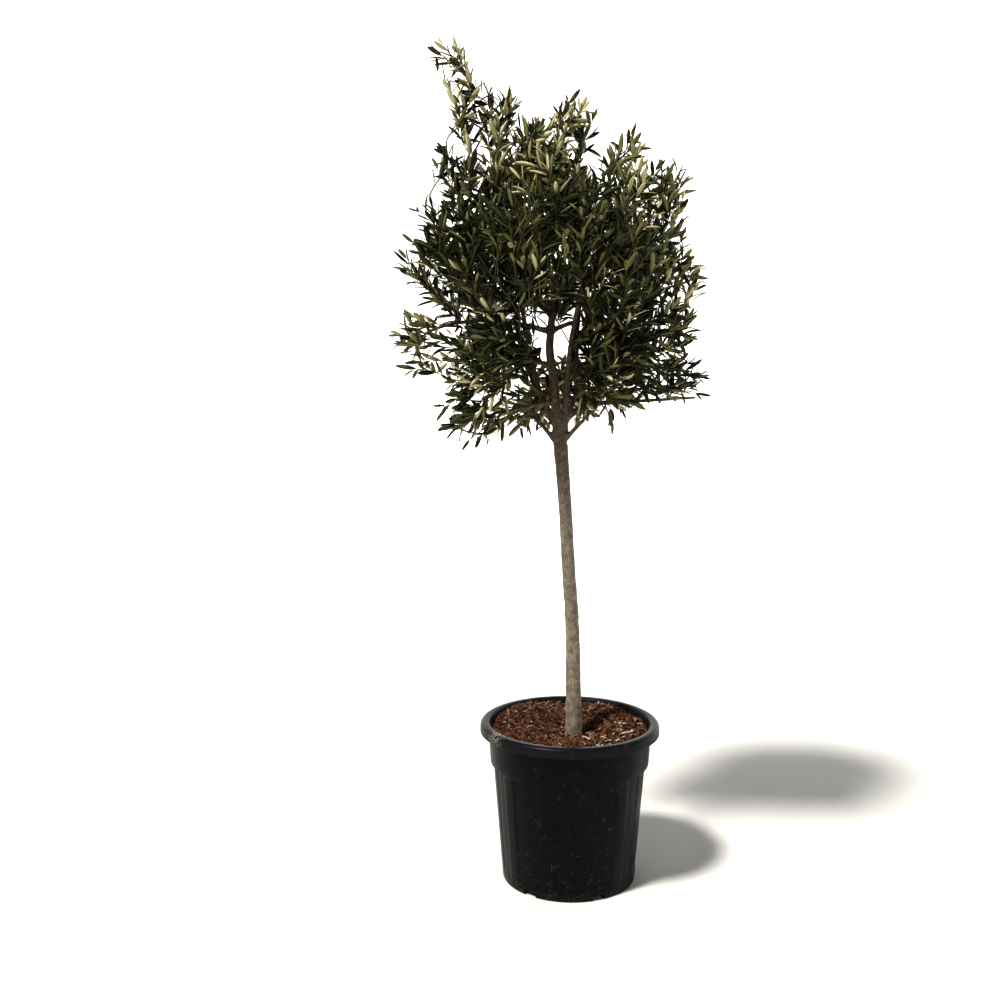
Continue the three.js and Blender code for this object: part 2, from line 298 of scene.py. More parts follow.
def settled(name: str, carrier: Object) -> Object:
    """Puts a plain mesh piece in place of an object with modifiers.

    Args:
        name: The piece's name.
        carrier: The object, which is removed.

    Returns:
        The piece: what the modifiers made, with none left on it.
    """
    graph = bpy.context.evaluated_depsgraph_get()
    mesh = bpy.data.meshes.new_from_object(
        carrier.evaluated_get(graph), preserve_all_data_layers=True, depsgraph=graph
    )
    mesh.name = name
    bpy.data.objects.remove(carrier)
    return new_object(name, mesh)


def finish_piece(piece: Object, nodes: Iterable[str] = ()) -> None:
    """Rides a finished piece on the body, hides the CAD nodes that it stands for, and logs its triangles.

    Args:
        piece: The piece.
        nodes: The CAD nodes that it stands for.
    """
    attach(piece, BODY)
    if nodes:
        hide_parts(*nodes)
    piece.data.calc_loop_triangles()
    LOG.info("%s: %d triangles", piece.name, len(piece.data.loop_triangles))


# --- Finishes ---


def start_material(name: str, roughness: float, specular: float) -> tuple[Material, NodeTree, Node]:
    """Starts a material with one roughness and one specular level all over.

    Args:
        name: The material's name.
        roughness: How dull it is, from 0 to 1.
        specular: Its specular level, where 0.5 is a plain plastic.

    Returns:
        The material, its node tree and its shader.
    """
    material = bpy.data.materials.new(name)
    material.use_nodes = True
    tree = material.node_tree
    shader = tree.nodes["Principled BSDF"]
    shader.inputs["Roughness"].default_value = roughness
    shader.inputs["Specular IOR Level"].default_value = specular
    return material, tree, shader


def set_ramp(node: Node, stops: tuple[tuple[float, str], ...]) -> NodeSocket:
    """Gives a colour ramp its first and last stop, and then the stops between.

    Args:
        node: The colour ramp.
        stops: The place and the sRGB colour of the first stop, the last one and each one between.

    Returns:
        The colour's socket.
    """
    elements = node.color_ramp.elements
    for number, (place, colour) in enumerate(stops):
        element = elements[number] if number < 2 else elements.new(place)
        element.position = place
        element.color = linear(colour)
    return node.outputs["Color"]


@dataclass(frozen=True)
class PlainFinish:
    """A finish of one even colour, for what is small and many: leaves, twigs, grains and straws.

    Leaves and young shoots have a waxy skin with a soft shine; dry bark and straw are dull.
    """

    name: str
    colour: str
    roughness: float
    specular: float = 0.5

    def build(self) -> Material:
        """Makes the material.

        Returns:
            The material.
        """
        material, _, shader = start_material(self.name, self.roughness, self.specular)
        shader.inputs["Base Color"].default_value = linear(self.colour)
        material.diffuse_color = linear(self.colour)
        return material


@dataclass(frozen=True)
class Moulding:
    """Black polypropylene, injection moulded.

    The skin is satin with a faint grain. It carries fine splashes of dry grit, most of them low down, thin
    curly scratches, brown dust near the foot, and a pale scuff on the lip; its rim is lighter, a painted
    sheen. The grit is drawn a little coarser than it is, so that it still shows when the pot is small in
    view.
    """

    name: str = "black_polypropylene_moulded"
    colour: str = "#060607"
    worn: str = "#0b0c0d"
    # Painted sheen: the rim's band is lighter and bluish where the lip catches the light.
    rim: str = "#1c1f23"
    sheen_band_height: float = 20 * MM
    sheen_band_fade: float = 6 * MM
    dust: str = "#33271f"
    dust_height: float = 22 * MM
    dust_most: float = 0.7
    grit: str = "#b4ad9b"
    grit_roughness: float = 0.9
    grit_pitch: float = 2.7 * MM
    grit_radius: float = 0.58 * MM
    grit_luck: tuple[float, float] = (0.81, 1.17)
    grit_bonus: tuple[float, float] = (-0.12, 0.17)
    roughness: float = 0.36
    specular: float = 0.13
    cloud: float = 45 * MM
    patch: float = 17 * MM
    grain: float = 1.6 * MM
    grain_depth: float = 0.12 * MM
    scratch_pitch: float = 9 * MM
    scratch_width: float = 0.008
    scratch_patches: tuple[float, float] = (0.56, 0.7)
    scratch_most: float = 0.22
    pot_height: float = 277 * MM
    scuff_at: tuple[float, float, float] = (-0.128, -0.082, 0.272)
    scuff_reach: float = 24 * MM
    scuff_level: float = 0.48

    def build(self) -> Material:
        """Makes the material.

        Returns:
            The material.
        """
        material, tree, shader = start_material(self.name, self.roughness, self.specular)
        place = add(tree, TEXTURE_PLACE).outputs["Object"]
        height = add(tree, AXES, {0: place}).outputs["Z"]
        curly = {"Vector": place, "Scale": 1 / self.scratch_pitch, "Detail": 1.5, "Distortion": 1.2}
        curls = add(tree, NOISE, curly)
        plastic = self.skin(tree, place, height)
        marked = self.marks(tree, place, height, curls.outputs["Fac"])
        final = add(tree, MIX, {0: marked, 6: plastic, 7: linear(self.grit)}, data_type="RGBA")
        rough = add(tree, RANGE, {"Value": marked, "To Min": self.roughness, "To Max": self.grit_roughness})
        grain = add(tree, NOISE, {"Vector": place, "Scale": 1 / self.grain, "Detail": 3.0})
        relief = {"Height": grain.outputs["Fac"], "Distance": self.grain_depth, "Strength": 0.4}
        bump = add(tree, BUMP, relief)
        tree.links.new(final.outputs[2], shader.inputs["Base Color"])
        tree.links.new(rough.outputs["Result"], shader.inputs["Roughness"])
        tree.links.new(bump.outputs[0], shader.inputs["Normal"])
        return material

    def skin(self, tree: NodeTree, place: NodeSocket, height: NodeSocket) -> NodeSocket:
        """The plastic's colour: cloudy, lighter on the rim as a painted sheen, and dusty near the foot.

        Args:
            tree: The shader tree.
            place: The point on the pot.
            height: Its height.

        Returns:
            The colour's socket.
        """
        cloud = add(tree, NOISE, {"Vector": place, "Scale": 1 / self.cloud, "Detail": 4.0})
        # The lighter band on the rim is a painted sheen.
        rim = self.pot_height - self.sheen_band_height
        above = add(tree, RANGE, {"Value": height, "From Min": rim, "From Max": rim + self.sheen_band_fade})
        dusty_to = {"From Min": self.dust_height, "From Max": 0.0, "To Max": self.dust_most}
        low = add(tree, RANGE, {"Value": height} | dusty_to)
        patchy = add(tree, NOISE, {"Vector": place, "Scale": 1 / self.patch, "Detail": 6.0})
        dusty = add(tree, MATH, {0: low.outputs["Result"], 1: patchy.outputs["Fac"]}, operation="MULTIPLY")
        skin = linear(self.colour)
        for share, colour in (
            (cloud.outputs["Fac"], self.worn),
            (above.outputs["Result"], self.rim),
            (dusty.outputs[0], self.dust),
        ):
            skin = add(tree, MIX, {0: share, 6: skin, 7: linear(colour)}, data_type="RGBA").outputs[2]
        return skin

    def marks(
        self, tree: NodeTree, place: NodeSocket, height: NodeSocket, curls: NodeSocket
    ) -> NodeSocket:
        """Where the pale marks are: grit, most of it low down, scratches, and the scuff on the lip.

        Args:
            tree: The shader tree.
            place: The point on the pot.
            height: Its height.
            curls: A smooth noise whose contours are the scratches.

        Returns:
            The socket of a value that is 1 on a mark.
        """
        grains = add(tree, CELLS, {"Vector": place, "Scale": 1 / self.grit_pitch})
        luck = add(tree, "ShaderNodeSeparateColor", {0: grains.outputs["Color"]}).outputs["Red"]
        least, most = self.grit_bonus
        downwards = {"From Min": self.pot_height, "From Max": 0.0, "To Min": least, "To Max": most}
        bonus = add(tree, RANGE, {"Value": height} | downwards)
        chance = add(tree, MATH, {0: luck, 1: bonus.outputs["Result"]}, operation="ADD")
        least, most = self.grit_luck
        sizes = {"From Min": least, "From Max": most, "To Max": self.grit_radius / self.grit_pitch}
        radius = add(tree, RANGE, {"Value": chance.outputs[0]} | sizes)
        inside = {0: radius.outputs["Result"], 1: grains.outputs["Distance"]}
        speck = add(tree, MATH, inside, operation="GREATER_THAN")
        line = add(tree, MATH, {0: curls, 1: 0.5, 2: self.scratch_width}, operation="COMPARE")
        where = add(tree, NOISE, {"Vector": place, "Scale": 1 / self.patch, "Detail": 2.0})
        least, most = self.scratch_patches
        some = {"From Min": least, "From Max": most, "To Max": self.scratch_most}
        few = add(tree, RANGE, {"Value": where.outputs["Fac"]} | some)
        scratch = add(tree, MATH, {0: line.outputs[0], 1: few.outputs["Result"]}, operation="MULTIPLY")
        away = add(tree, DISTANCE, {0: place, 1: self.scuff_at}, operation="DISTANCE")
        fading = {"From Min": self.scuff_reach, "From Max": 0.4 * self.scuff_reach}
        near = add(tree, RANGE, {"Value": away.outputs["Value"]} | fading)
        rub = add(tree, MATH, {0: curls, 1: self.scuff_level, 2: 3 * self.scratch_width}, operation="COMPARE")
        scuff = add(tree, MATH, {0: near.outputs["Result"], 1: rub.outputs[0]}, operation="MULTIPLY")
        first = add(tree, MATH, {0: speck.outputs[0], 1: scratch.outputs[0]}, operation="MAXIMUM")
        return add(tree, MATH, {0: first.outputs[0], 1: scuff.outputs[0]}, operation="MAXIMUM").outputs[0]


@dataclass(frozen=True)
class YoungBark:
    """Smooth bark of a young olive.

    Grey-beige and finely mottled, with fine upright streaks, dark pores, pale wrinkles and one small brown
    knot; lightened near the foot as painted light, and browner on the boughs, where it is younger and damper,
    with that brown run down the top of the trunk as painted shade.
    """

    name: str = "olive_bark_grown"
    base: str = "#81786c"
    pale: str = "#a09688"
    dark: str = "#665e52"
    bough: str = "#463324"
    fork_height: float = 0.77
    # Where the bough brown starts and ends round the fork: real browning on the boughs, painted shade on the
    # trunk's top.
    bough_brown_and_shade: tuple[float, float] = (-0.2, 0.08)
    bough_most: float = 0.85
    # Painted light: the bark is lightened near the foot.
    foot_light_heights: tuple[float, float] = (0.25, 0.5)
    foot_light_gain: float = 1.35
    streak: float = 2.2 * MM
    streak_stretch: float = 0.16
    streak_tone: tuple[float, float] = (0.72, 1.16)
    mottle: float = 11 * MM
    pore: float = 3.4 * MM
    pore_tone: float = 0.55
    wrinkle: float = 8 * MM
    wrinkle_width: float = 0.014
    wrinkle_edge: str = "#cfc6b8"
    wrinkle_most: float = 0.3
    knot: str = "#9a6430"
    knot_at: tuple[float, float, float] = (0.009, -0.015, 0.341)
    knot_reach: float = 3.2 * MM
    relief: float = 0.5 * MM
    roughness: float = 0.78
    specular: float = 0.35

    def build(self) -> Material:
        """Makes the material.

        Returns:
            The material.
        """
        material, tree, shader = start_material(self.name, self.roughness, self.specular)
        place = add(tree, TEXTURE_PLACE).outputs["Object"]
        fine = {"Vector": place, "Scale": 1 / self.mottle, "Detail": 6.0, "Roughness": 0.65}
        mottle = add(tree, NOISE, fine).outputs["Fac"]
        upright = add(tree, MAPPING, {"Vector": place, "Scale": (1.0, 1.0, self.streak_stretch)}).outputs[0]
        drawn_out = {"Vector": upright, "Scale": 1 / self.streak, "Detail": 5.0, "Roughness": 0.6}
        streaks = add(tree, NOISE, drawn_out).outputs["Fac"]
        skin = self.skin(tree, place, mottle, streaks)
        colour = self.marks(tree, place, skin)
        relief = add(tree, MATH, {0: streaks, 1: mottle}, operation="ADD")
        depth = {"Height": relief.outputs[0], "Distance": self.relief, "Strength": 0.7}
        bump = add(tree, BUMP, depth)
        tree.links.new(colour, shader.inputs["Base Color"])
        tree.links.new(bump.outputs[0], shader.inputs["Normal"])
        return material

    def skin(
        self, tree: NodeTree, place: NodeSocket, mottle: NodeSocket, streaks: NodeSocket
    ) -> NodeSocket:
        """The bark's colour: mottled, streaked and pored, browner on the boughs; painted light at the foot,
        painted shade below the fork.

        Args:
            tree: The shader tree.
            place: The point on the wood.
            mottle: A noise as coarse as the mottling.
            streaks: A noise drawn out upright.

        Returns:
            The colour's socket.
        """
        height = add(tree, AXES, {0: place}).outputs["Z"]
        ramp = add(tree, RAMP, {"Fac": mottle})
        mottled = set_ramp(ramp, ((0.3, self.dark), (0.66, self.pale), (0.48, self.base)))
        least, most = self.streak_tone
        tones = {"From Min": 0.3, "From Max": 0.7, "To Min": least, "To Max": most}
        streaky = add(tree, RANGE, {"Value": streaks} | tones)
        # Painted light: the bark is lightened towards the foot.
        least, most = self.foot_light_heights
        lifted = {"From Min": least, "From Max": most, "To Min": self.foot_light_gain, "To Max": 1.0}
        foot = add(tree, RANGE, {"Value": height} | lifted)
        # Painted shade: the bough brown runs down the trunk below the fork.
        least, most = (self.fork_height + step for step in self.bough_brown_and_shade)
        younger = {"From Min": least, "From Max": most, "To Max": self.bough_most}
        young = add(tree, RANGE, {"Value": height} | younger)
        flat = add(tree, MAPPING, {"Vector": place, "Scale": (0.45, 0.45, 1.0)})
        pores = add(tree, CELLS, {"Vector": flat.outputs[0], "Scale": 1 / self.pore})
        darker = {"From Min": 0.08, "From Max": 0.2, "To Min": self.pore_tone}
        pore = add(tree, RANGE, {"Value": pores.outputs["Distance"]} | darker)
        skin = mottled
        for share, colour, blend in (
            (1.0, streaky.outputs["Result"], "MULTIPLY"),
            (1.0, foot.outputs["Result"], "MULTIPLY"),
            (young.outputs["Result"], linear(self.bough), "MIX"),
            (1.0, pore.outputs["Result"], "MULTIPLY"),
        ):
            mixed = add(tree, MIX, {0: share, 6: skin, 7: colour}, data_type="RGBA", blend_type=blend)
            skin = mixed.outputs[2]
        return skin

    def marks(self, tree: NodeTree, place: NodeSocket, skin: NodeSocket) -> NodeSocket:
        """The colour with the pale edges of the wrinkles and the brown knot drawn on it.

        Args:
            tree: The shader tree.
            place: The point on the wood.
            skin: The colour before.

        Returns:
            The colour's socket.
        """
        curly = {"Vector": place, "Scale": 1 / self.wrinkle, "Detail": 2.0, "Distortion": 1.1}
        swirl = add(tree, NOISE, curly)
        contour = {0: swirl.outputs["Fac"], 1: 0.5, 2: self.wrinkle_width}
        wrinkles = add(tree, MATH, contour, operation="COMPARE")
        edge = add(tree, MATH, {0: wrinkles.outputs[0], 1: self.wrinkle_most}, operation="MULTIPLY")
        away = add(tree, DISTANCE, {0: place, 1: self.knot_at}, operation="DISTANCE")
        fading = {"From Min": self.knot_reach, "From Max": 0.5 * self.knot_reach}
        near = add(tree, RANGE, {"Value": away.outputs["Value"]} | fading)
        for share, colour in ((edge.outputs[0], self.wrinkle_edge), (near.outputs["Result"], self.knot)):
            skin = add(tree, MIX, {0: share, 6: skin, 7: linear(colour)}, data_type="RGBA").outputs[2]
        return skin


@dataclass(frozen=True)
class BarkCompost:
    """Composted bark and coir, loose and a little damp: reddish brown crumbs, with painted shade in the low
    gaps between.
    """

    name: str = "bark_compost_loose"
    # Painted shade: near-black where the crumbs' relief is low.
    deep: str = "#120a07"
    middle: str = "#583d2e"
    bright: str = "#ac7a5c"
    crumb: float = 4.5 * MM
    relief: float = 2.0 * MM
    roughness: float = 0.92
    specular: float = 0.2

    def build(self) -> Material:
        """Makes the material.

        Returns:
            The material.
        """
        material, tree, shader = start_material(self.name, self.roughness, self.specular)
        place = add(tree, TEXTURE_PLACE).outputs["Object"]
        fine = {"Vector": place, "Scale": 1 / self.crumb, "Detail": 8.0, "Roughness": 0.7}
        crumbs = add(tree, NOISE, fine).outputs["Fac"]
        # One noise both lifts the crumbs and colours them, so the low gaps take the painted shade.
        ramp = add(tree, RAMP, {"Fac": crumbs})
        colour = set_ramp(ramp, ((0.36, self.deep), (0.68, self.bright), (0.5, self.middle)))
        bump = add(tree, BUMP, {"Height": crumbs, "Distance": self.relief, "Strength": 1.0})
        tree.links.new(colour, shader.inputs["Base Color"])
        tree.links.new(bump.outputs[0], shader.inputs["Normal"])
        return material


LEAF_TOPS = (
    PlainFinish("olive_leaf_top_deep", "#0a0e01", 0.45, 0.16),
    PlainFinish("olive_leaf_top_dark", "#121703", 0.43, 0.16),
    PlainFinish("olive_leaf_top_green", "#1c2406", 0.43, 0.18),
    PlainFinish("olive_leaf_top_grey", "#2a3211", 0.46, 0.2),
    PlainFinish("olive_leaf_top_young", "#48521e", 0.45, 0.22),
    PlainFinish("olive_leaf_top_yellowed", "#a09a40", 0.5, 0.26),
)
LEAF_TINT_SHARES = (0.26, 0.29, 0.24, 0.11, 0.09, 0.01)
# Painted light: sprays high on the sunlit left of the crown take paler tops, beside their young growth.
SUNLIT_YOUNG_TINTS = (0.6, 0.6, 0.8, 2.2, 4.0, 1.5)
# Partly painted light: sprays high in the crown take paler tops, young and lit from above.
HIGH_LIT_TINTS = (0.6, 0.7, 1.0, 1.6, 2.2, 1.5)
# Painted shade: sprays in the crown's heart take the deep and dark tops.
HEART_SHADE_TINTS = (2.2, 1.4, 0.8, 0.5, 0.3, 0.0)
# Lit and shaded copies of the silvery underside, as painted light and shade: dark, pale and a sunlit cream.
LEAF_UNDERSIDES = (
    PlainFinish("olive_leaf_underside_silver", "#4e5334", 0.62, 0.25),
    PlainFinish("olive_leaf_underside_pale", "#838455", 0.62, 0.25),
    PlainFinish("olive_leaf_underside_cream", "#e2daa9", 0.6, 0.25),
)
LEAF_RIB = PlainFinish("olive_leaf_midrib", "#5d6238", 0.5, 0.4)
SHOOT_BARK = (
    PlainFinish("olive_shoot_bark_young", "#625b3e", 0.6, 0.3),
    PlainFinish("olive_shoot_bark_brown", "#5a4936", 0.72, 0.3),
)


# --- Nursery pot ---


@dataclass
class NurseryPot:
    """The pot: a thin moulded wall with a collar, a turned-over rim and shallow upright panels."""

    height: float = 277 * MM
    foot_radius: float = 115.5 * MM
    body_radius: float = 131.8 * MM
    collar_bottom: float = 205 * MM
    collar_radius: float = 137 * MM
    rim_radius: float = 155 * MM
    rim_drop: float = 17 * MM
    wall: float = 2.4 * MM
    floor_lift: float = 9 * MM
    disc_radius: float = 42 * MM
    foot_ring: float = 14.5 * MM
    notches: int = 6
    notch_width: float = 22 * MM
    notch_turn: float = math.radians(22.5)
    hole_radius: float = 5.5 * MM
    hole_ring: float = 72 * MM
    facets: int = 240
    panels: tuple[tuple[float, float], ...] = ((0.0, 11.0), (30.0, 6.5))
    panel_depth: float = 1.2 * MM
    panel_foot: float = 14 * MM
    panel_fade: float = 8 * MM
    panel_edge: float = 0.9
    wall_rises: int = 26
    lip_turns: int = 8
    drill_sides: int = 24
    crease: float = math.radians(38)

    def profile(self) -> list[tuple[float, float]]:
        """The wall's section: the underside, up the outside, over the rim and down inside to the floor.

        Returns:
            Its points as (radius, height), from the underside's middle.
        """
        top, skirt = self.height, self.height - self.rim_drop
        throat = self.collar_radius + 3 * MM
        floor = self.floor_lift + self.wall
        step = self.collar_bottom
        inner_foot = self.foot_radius - self.foot_ring
        outer = [
            (self.disc_radius - 1 * MM, 0.0),
            (self.disc_radius, 0.4 * MM),
            (self.disc_radius + 4 * MM, self.floor_lift),
            (inner_foot - 4 * MM, self.floor_lift),
            (inner_foot, 0.4 * MM),
            (inner_foot + 1 * MM, 0.0),
            (self.foot_radius - 1.6 * MM, 0.0),
            (self.foot_radius - 0.4 * MM, 0.5 * MM),
            (self.foot_radius + 0.1 * MM, 2.0 * MM),
        ]
        for rise in range(1, self.wall_rises):
            share = rise / self.wall_rises
            outer.append(
                (self.foot_radius + share * (self.body_radius - self.foot_radius), share * (step - 2 * MM))
            )
        outer += [
            (self.body_radius, step - 1.2 * MM),
            (self.body_radius + 0.5 * MM, step - 0.4 * MM),
            (self.collar_radius - 1.6 * MM, step + 0.2 * MM),
            (self.collar_radius - 0.4 * MM, step + 0.9 * MM),
            (self.collar_radius, step + 2.2 * MM),
            (self.collar_radius + 1.2 * MM, step + 18 * MM),
            (self.collar_radius + 2.2 * MM, step + 36 * MM),
            (throat + 1 * MM, skirt),
            (throat + 1.2 * MM, top - 4.5 * MM),
            (throat + 2.2 * MM, top - 3 * MM),
            (self.rim_radius - self.wall - 3 * MM, top - 3 * MM),
            (self.rim_radius - self.wall - 0.6 * MM, top - 5 * MM),
            (self.rim_radius - self.wall, skirt + 0.6 * MM),
            (self.rim_radius - self.wall + 0.6 * MM, skirt),
            (self.rim_radius - 0.6 * MM, skirt),
            (self.rim_radius, skirt + 0.6 * MM),
        ]
        crown = (self.rim_radius - 7 * MM, top - 7 * MM)
        for turn in range(self.lip_turns + 1):
            angle = math.radians(8 + 80 * turn / self.lip_turns)
            outer.append((crown[0] + 6.8 * MM * math.cos(angle), crown[1] + 7 * MM * math.sin(angle)))
        inner = [
            (throat + 1.5 * MM, top - 0.1 * MM),
            (throat - 0.2 * MM, top - 0.8 * MM),
            (throat - 1.2 * MM, top - 2.4 * MM),
            (self.collar_radius + 2 * MM - self.wall, top - 12 * MM),
            (self.collar_radius - self.wall, step + 3.5 * MM),
            (self.body_radius - self.wall, step - 0.5 * MM),
            (self.foot_radius - self.wall, floor + 2 * MM),
            (self.foot_radius - self.wall - 2 * MM, floor),
        ]
        return outer + inner

    def panel(self, angle: float, height: float) -> float:
        """How far the body's wall is pressed in at a place.

        Args:
            angle: The place's angle round the pot, in radians.
            height: Its height.

        Returns:
            The depth in metres.
        """
        if height > self.collar_bottom - 1.0 * MM or height < self.panel_foot:
            return 0.0
        period = 360 / self.notches
        turn = (math.degrees(angle) - math.degrees(self.notch_turn)) % period
        pressed = 0.0
        for middle, half in self.panels:
            gap = abs((turn - middle + period / 2) % period - period / 2)
            pressed = max(pressed, min(1.0, max(0.0, (half - gap) / self.panel_edge + 0.5)))
        fade = min(1.0, (height - self.panel_foot) / self.panel_fade)
        return self.panel_depth * pressed * fade

    def build(self) -> Object:
        """Makes the pot, cuts its gaps and holes, and dresses it.

        Returns:
            The finished piece.
        """
        section = self.profile()
        corners, faces, caps = [], [], []
        outer_wall = self.foot_radius - 2 * MM
        count = len(section)
        floor_centre, disc_centre = self.facets * count, self.facets * count + 1
        for facet in range(self.facets):
            angle = 2 * math.pi * facet / self.facets
            for radius, height in section:
                inward = self.panel(angle, height) if radius > outer_wall else 0.0
                reach = radius - inward
                corners.append((reach * math.sin(angle), -reach * math.cos(angle), height))
            here, there = facet * count, ((facet + 1) % self.facets) * count
            for point in range(count - 1):
                faces.append((here + point, there + point, there + point + 1, here + point + 1))
            caps.append((floor_centre, here + count - 1, there + count - 1))
            caps.append((disc_centre, there, here))
        corners += [(0.0, 0.0, section[-1][1]), (0.0, 0.0, 0.0)]
        mesh = mesh_of("pot_blank", corners, faces + caps)
        pot = run_nodes("nursery_pot", mesh, self.drainage_tree(), {
            "Gaps": self.notches,
            "Gap width": self.notch_width,
            "Gap height": 2 * self.floor_lift,
            "Hole radius": self.hole_radius,
            "Material": Moulding(pot_height=self.height).build(),
        })
        pot.data.shade_smooth()
        mark_sharp(pot.data, self.crease)
        finish_piece(pot, ["pot"])
        return pot

    def drainage_tree(self) -> NodeTree:
        """The rule that cuts evenly spaced gaps through the foot ring and holes through the floor.

        Returns:
            The tree.
        """
        tree, given = nodes_tree("drainage", {
            "Gaps": "NodeSocketInt",
            "Gap width": "NodeSocketFloat",
            "Gap height": "NodeSocketFloat",
            "Hole radius": "NodeSocketFloat",
            "Material": "NodeSocketMaterial",
        })
        foot = self.foot_radius - self.foot_ring / 2
        start = -math.pi / 2 + self.notch_turn
        spots = {}
        for label, radius, turn in (("gap", foot, 0.0), ("hole", self.hole_ring, math.pi / self.notches)):
            sizes = {"Vertices": given.outputs["Gaps"], "Radius": radius}
            circle = add(tree, "GeometryNodeMeshCircle", sizes)
            turned = {"Geometry": circle.outputs[0], "Rotation": (0.0, 0.0, start + turn)}
            spots[label] = add(tree, TRANSFORM, turned).outputs[0]
        sides = {0: self.foot_ring + 16 * MM, 1: given.outputs["Gap width"], 2: given.outputs["Gap height"]}
        size = add(tree, VECTOR, sides)
        block = add(tree, "GeometryNodeMeshCube", {"Size": size.outputs[0]})
        bit = {"Radius": given.outputs["Hole radius"], "Depth": 4 * self.floor_lift}
        drill = add(tree, "GeometryNodeMeshCylinder", {"Vertices": self.drill_sides} | bit)
        place = add(tree, "GeometryNodeInputPosition")
        parts = add(tree, AXES, {0: place.outputs[0]})
        bearing = add(tree, MATH, {0: parts.outputs["Y"], 1: parts.outputs["X"]}, operation="ARCTAN2")
        facing = add(tree, VECTOR, {2: bearing.outputs[0]})
        cutters = []
        for spot, shape in ((spots["gap"], block.outputs[0]), (spots["hole"], drill.outputs[0])):
            copies = add(tree, COPIES, {"Points": spot, "Instance": shape, "Rotation": facing.outputs[0]})
            cutters.append(add(tree, REALIZE, {0: copies.outputs[0]}).outputs[0])
        joined = add(tree, "GeometryNodeJoinGeometry")
        for cutter in cutters:
            tree.links.new(cutter, joined.inputs[0])
        both = {"Mesh 1": given.outputs["Geometry"], "Mesh 2": joined.outputs[0]}
        cut = add(tree, "GeometryNodeMeshBoolean", both, operation="DIFFERENCE", solver="EXACT")
        end_tree(tree, cut.outputs[0], given.outputs["Material"])
        return tree


def mark_sharp(mesh: Mesh, angle: float) -> None:
    """Marks the edges that bend more than an angle, so that shading breaks there.

    Args:
        mesh: The mesh.
        angle: The angle, in radians.
    """
    shape = bmesh.new()
    shape.from_mesh(mesh)
    for edge in shape.edges:
        edge.smooth = not edge.is_manifold or edge.calc_face_angle(0.0) < angle
    shape.to_mesh(mesh)
    shape.free()


# --- Compost ---


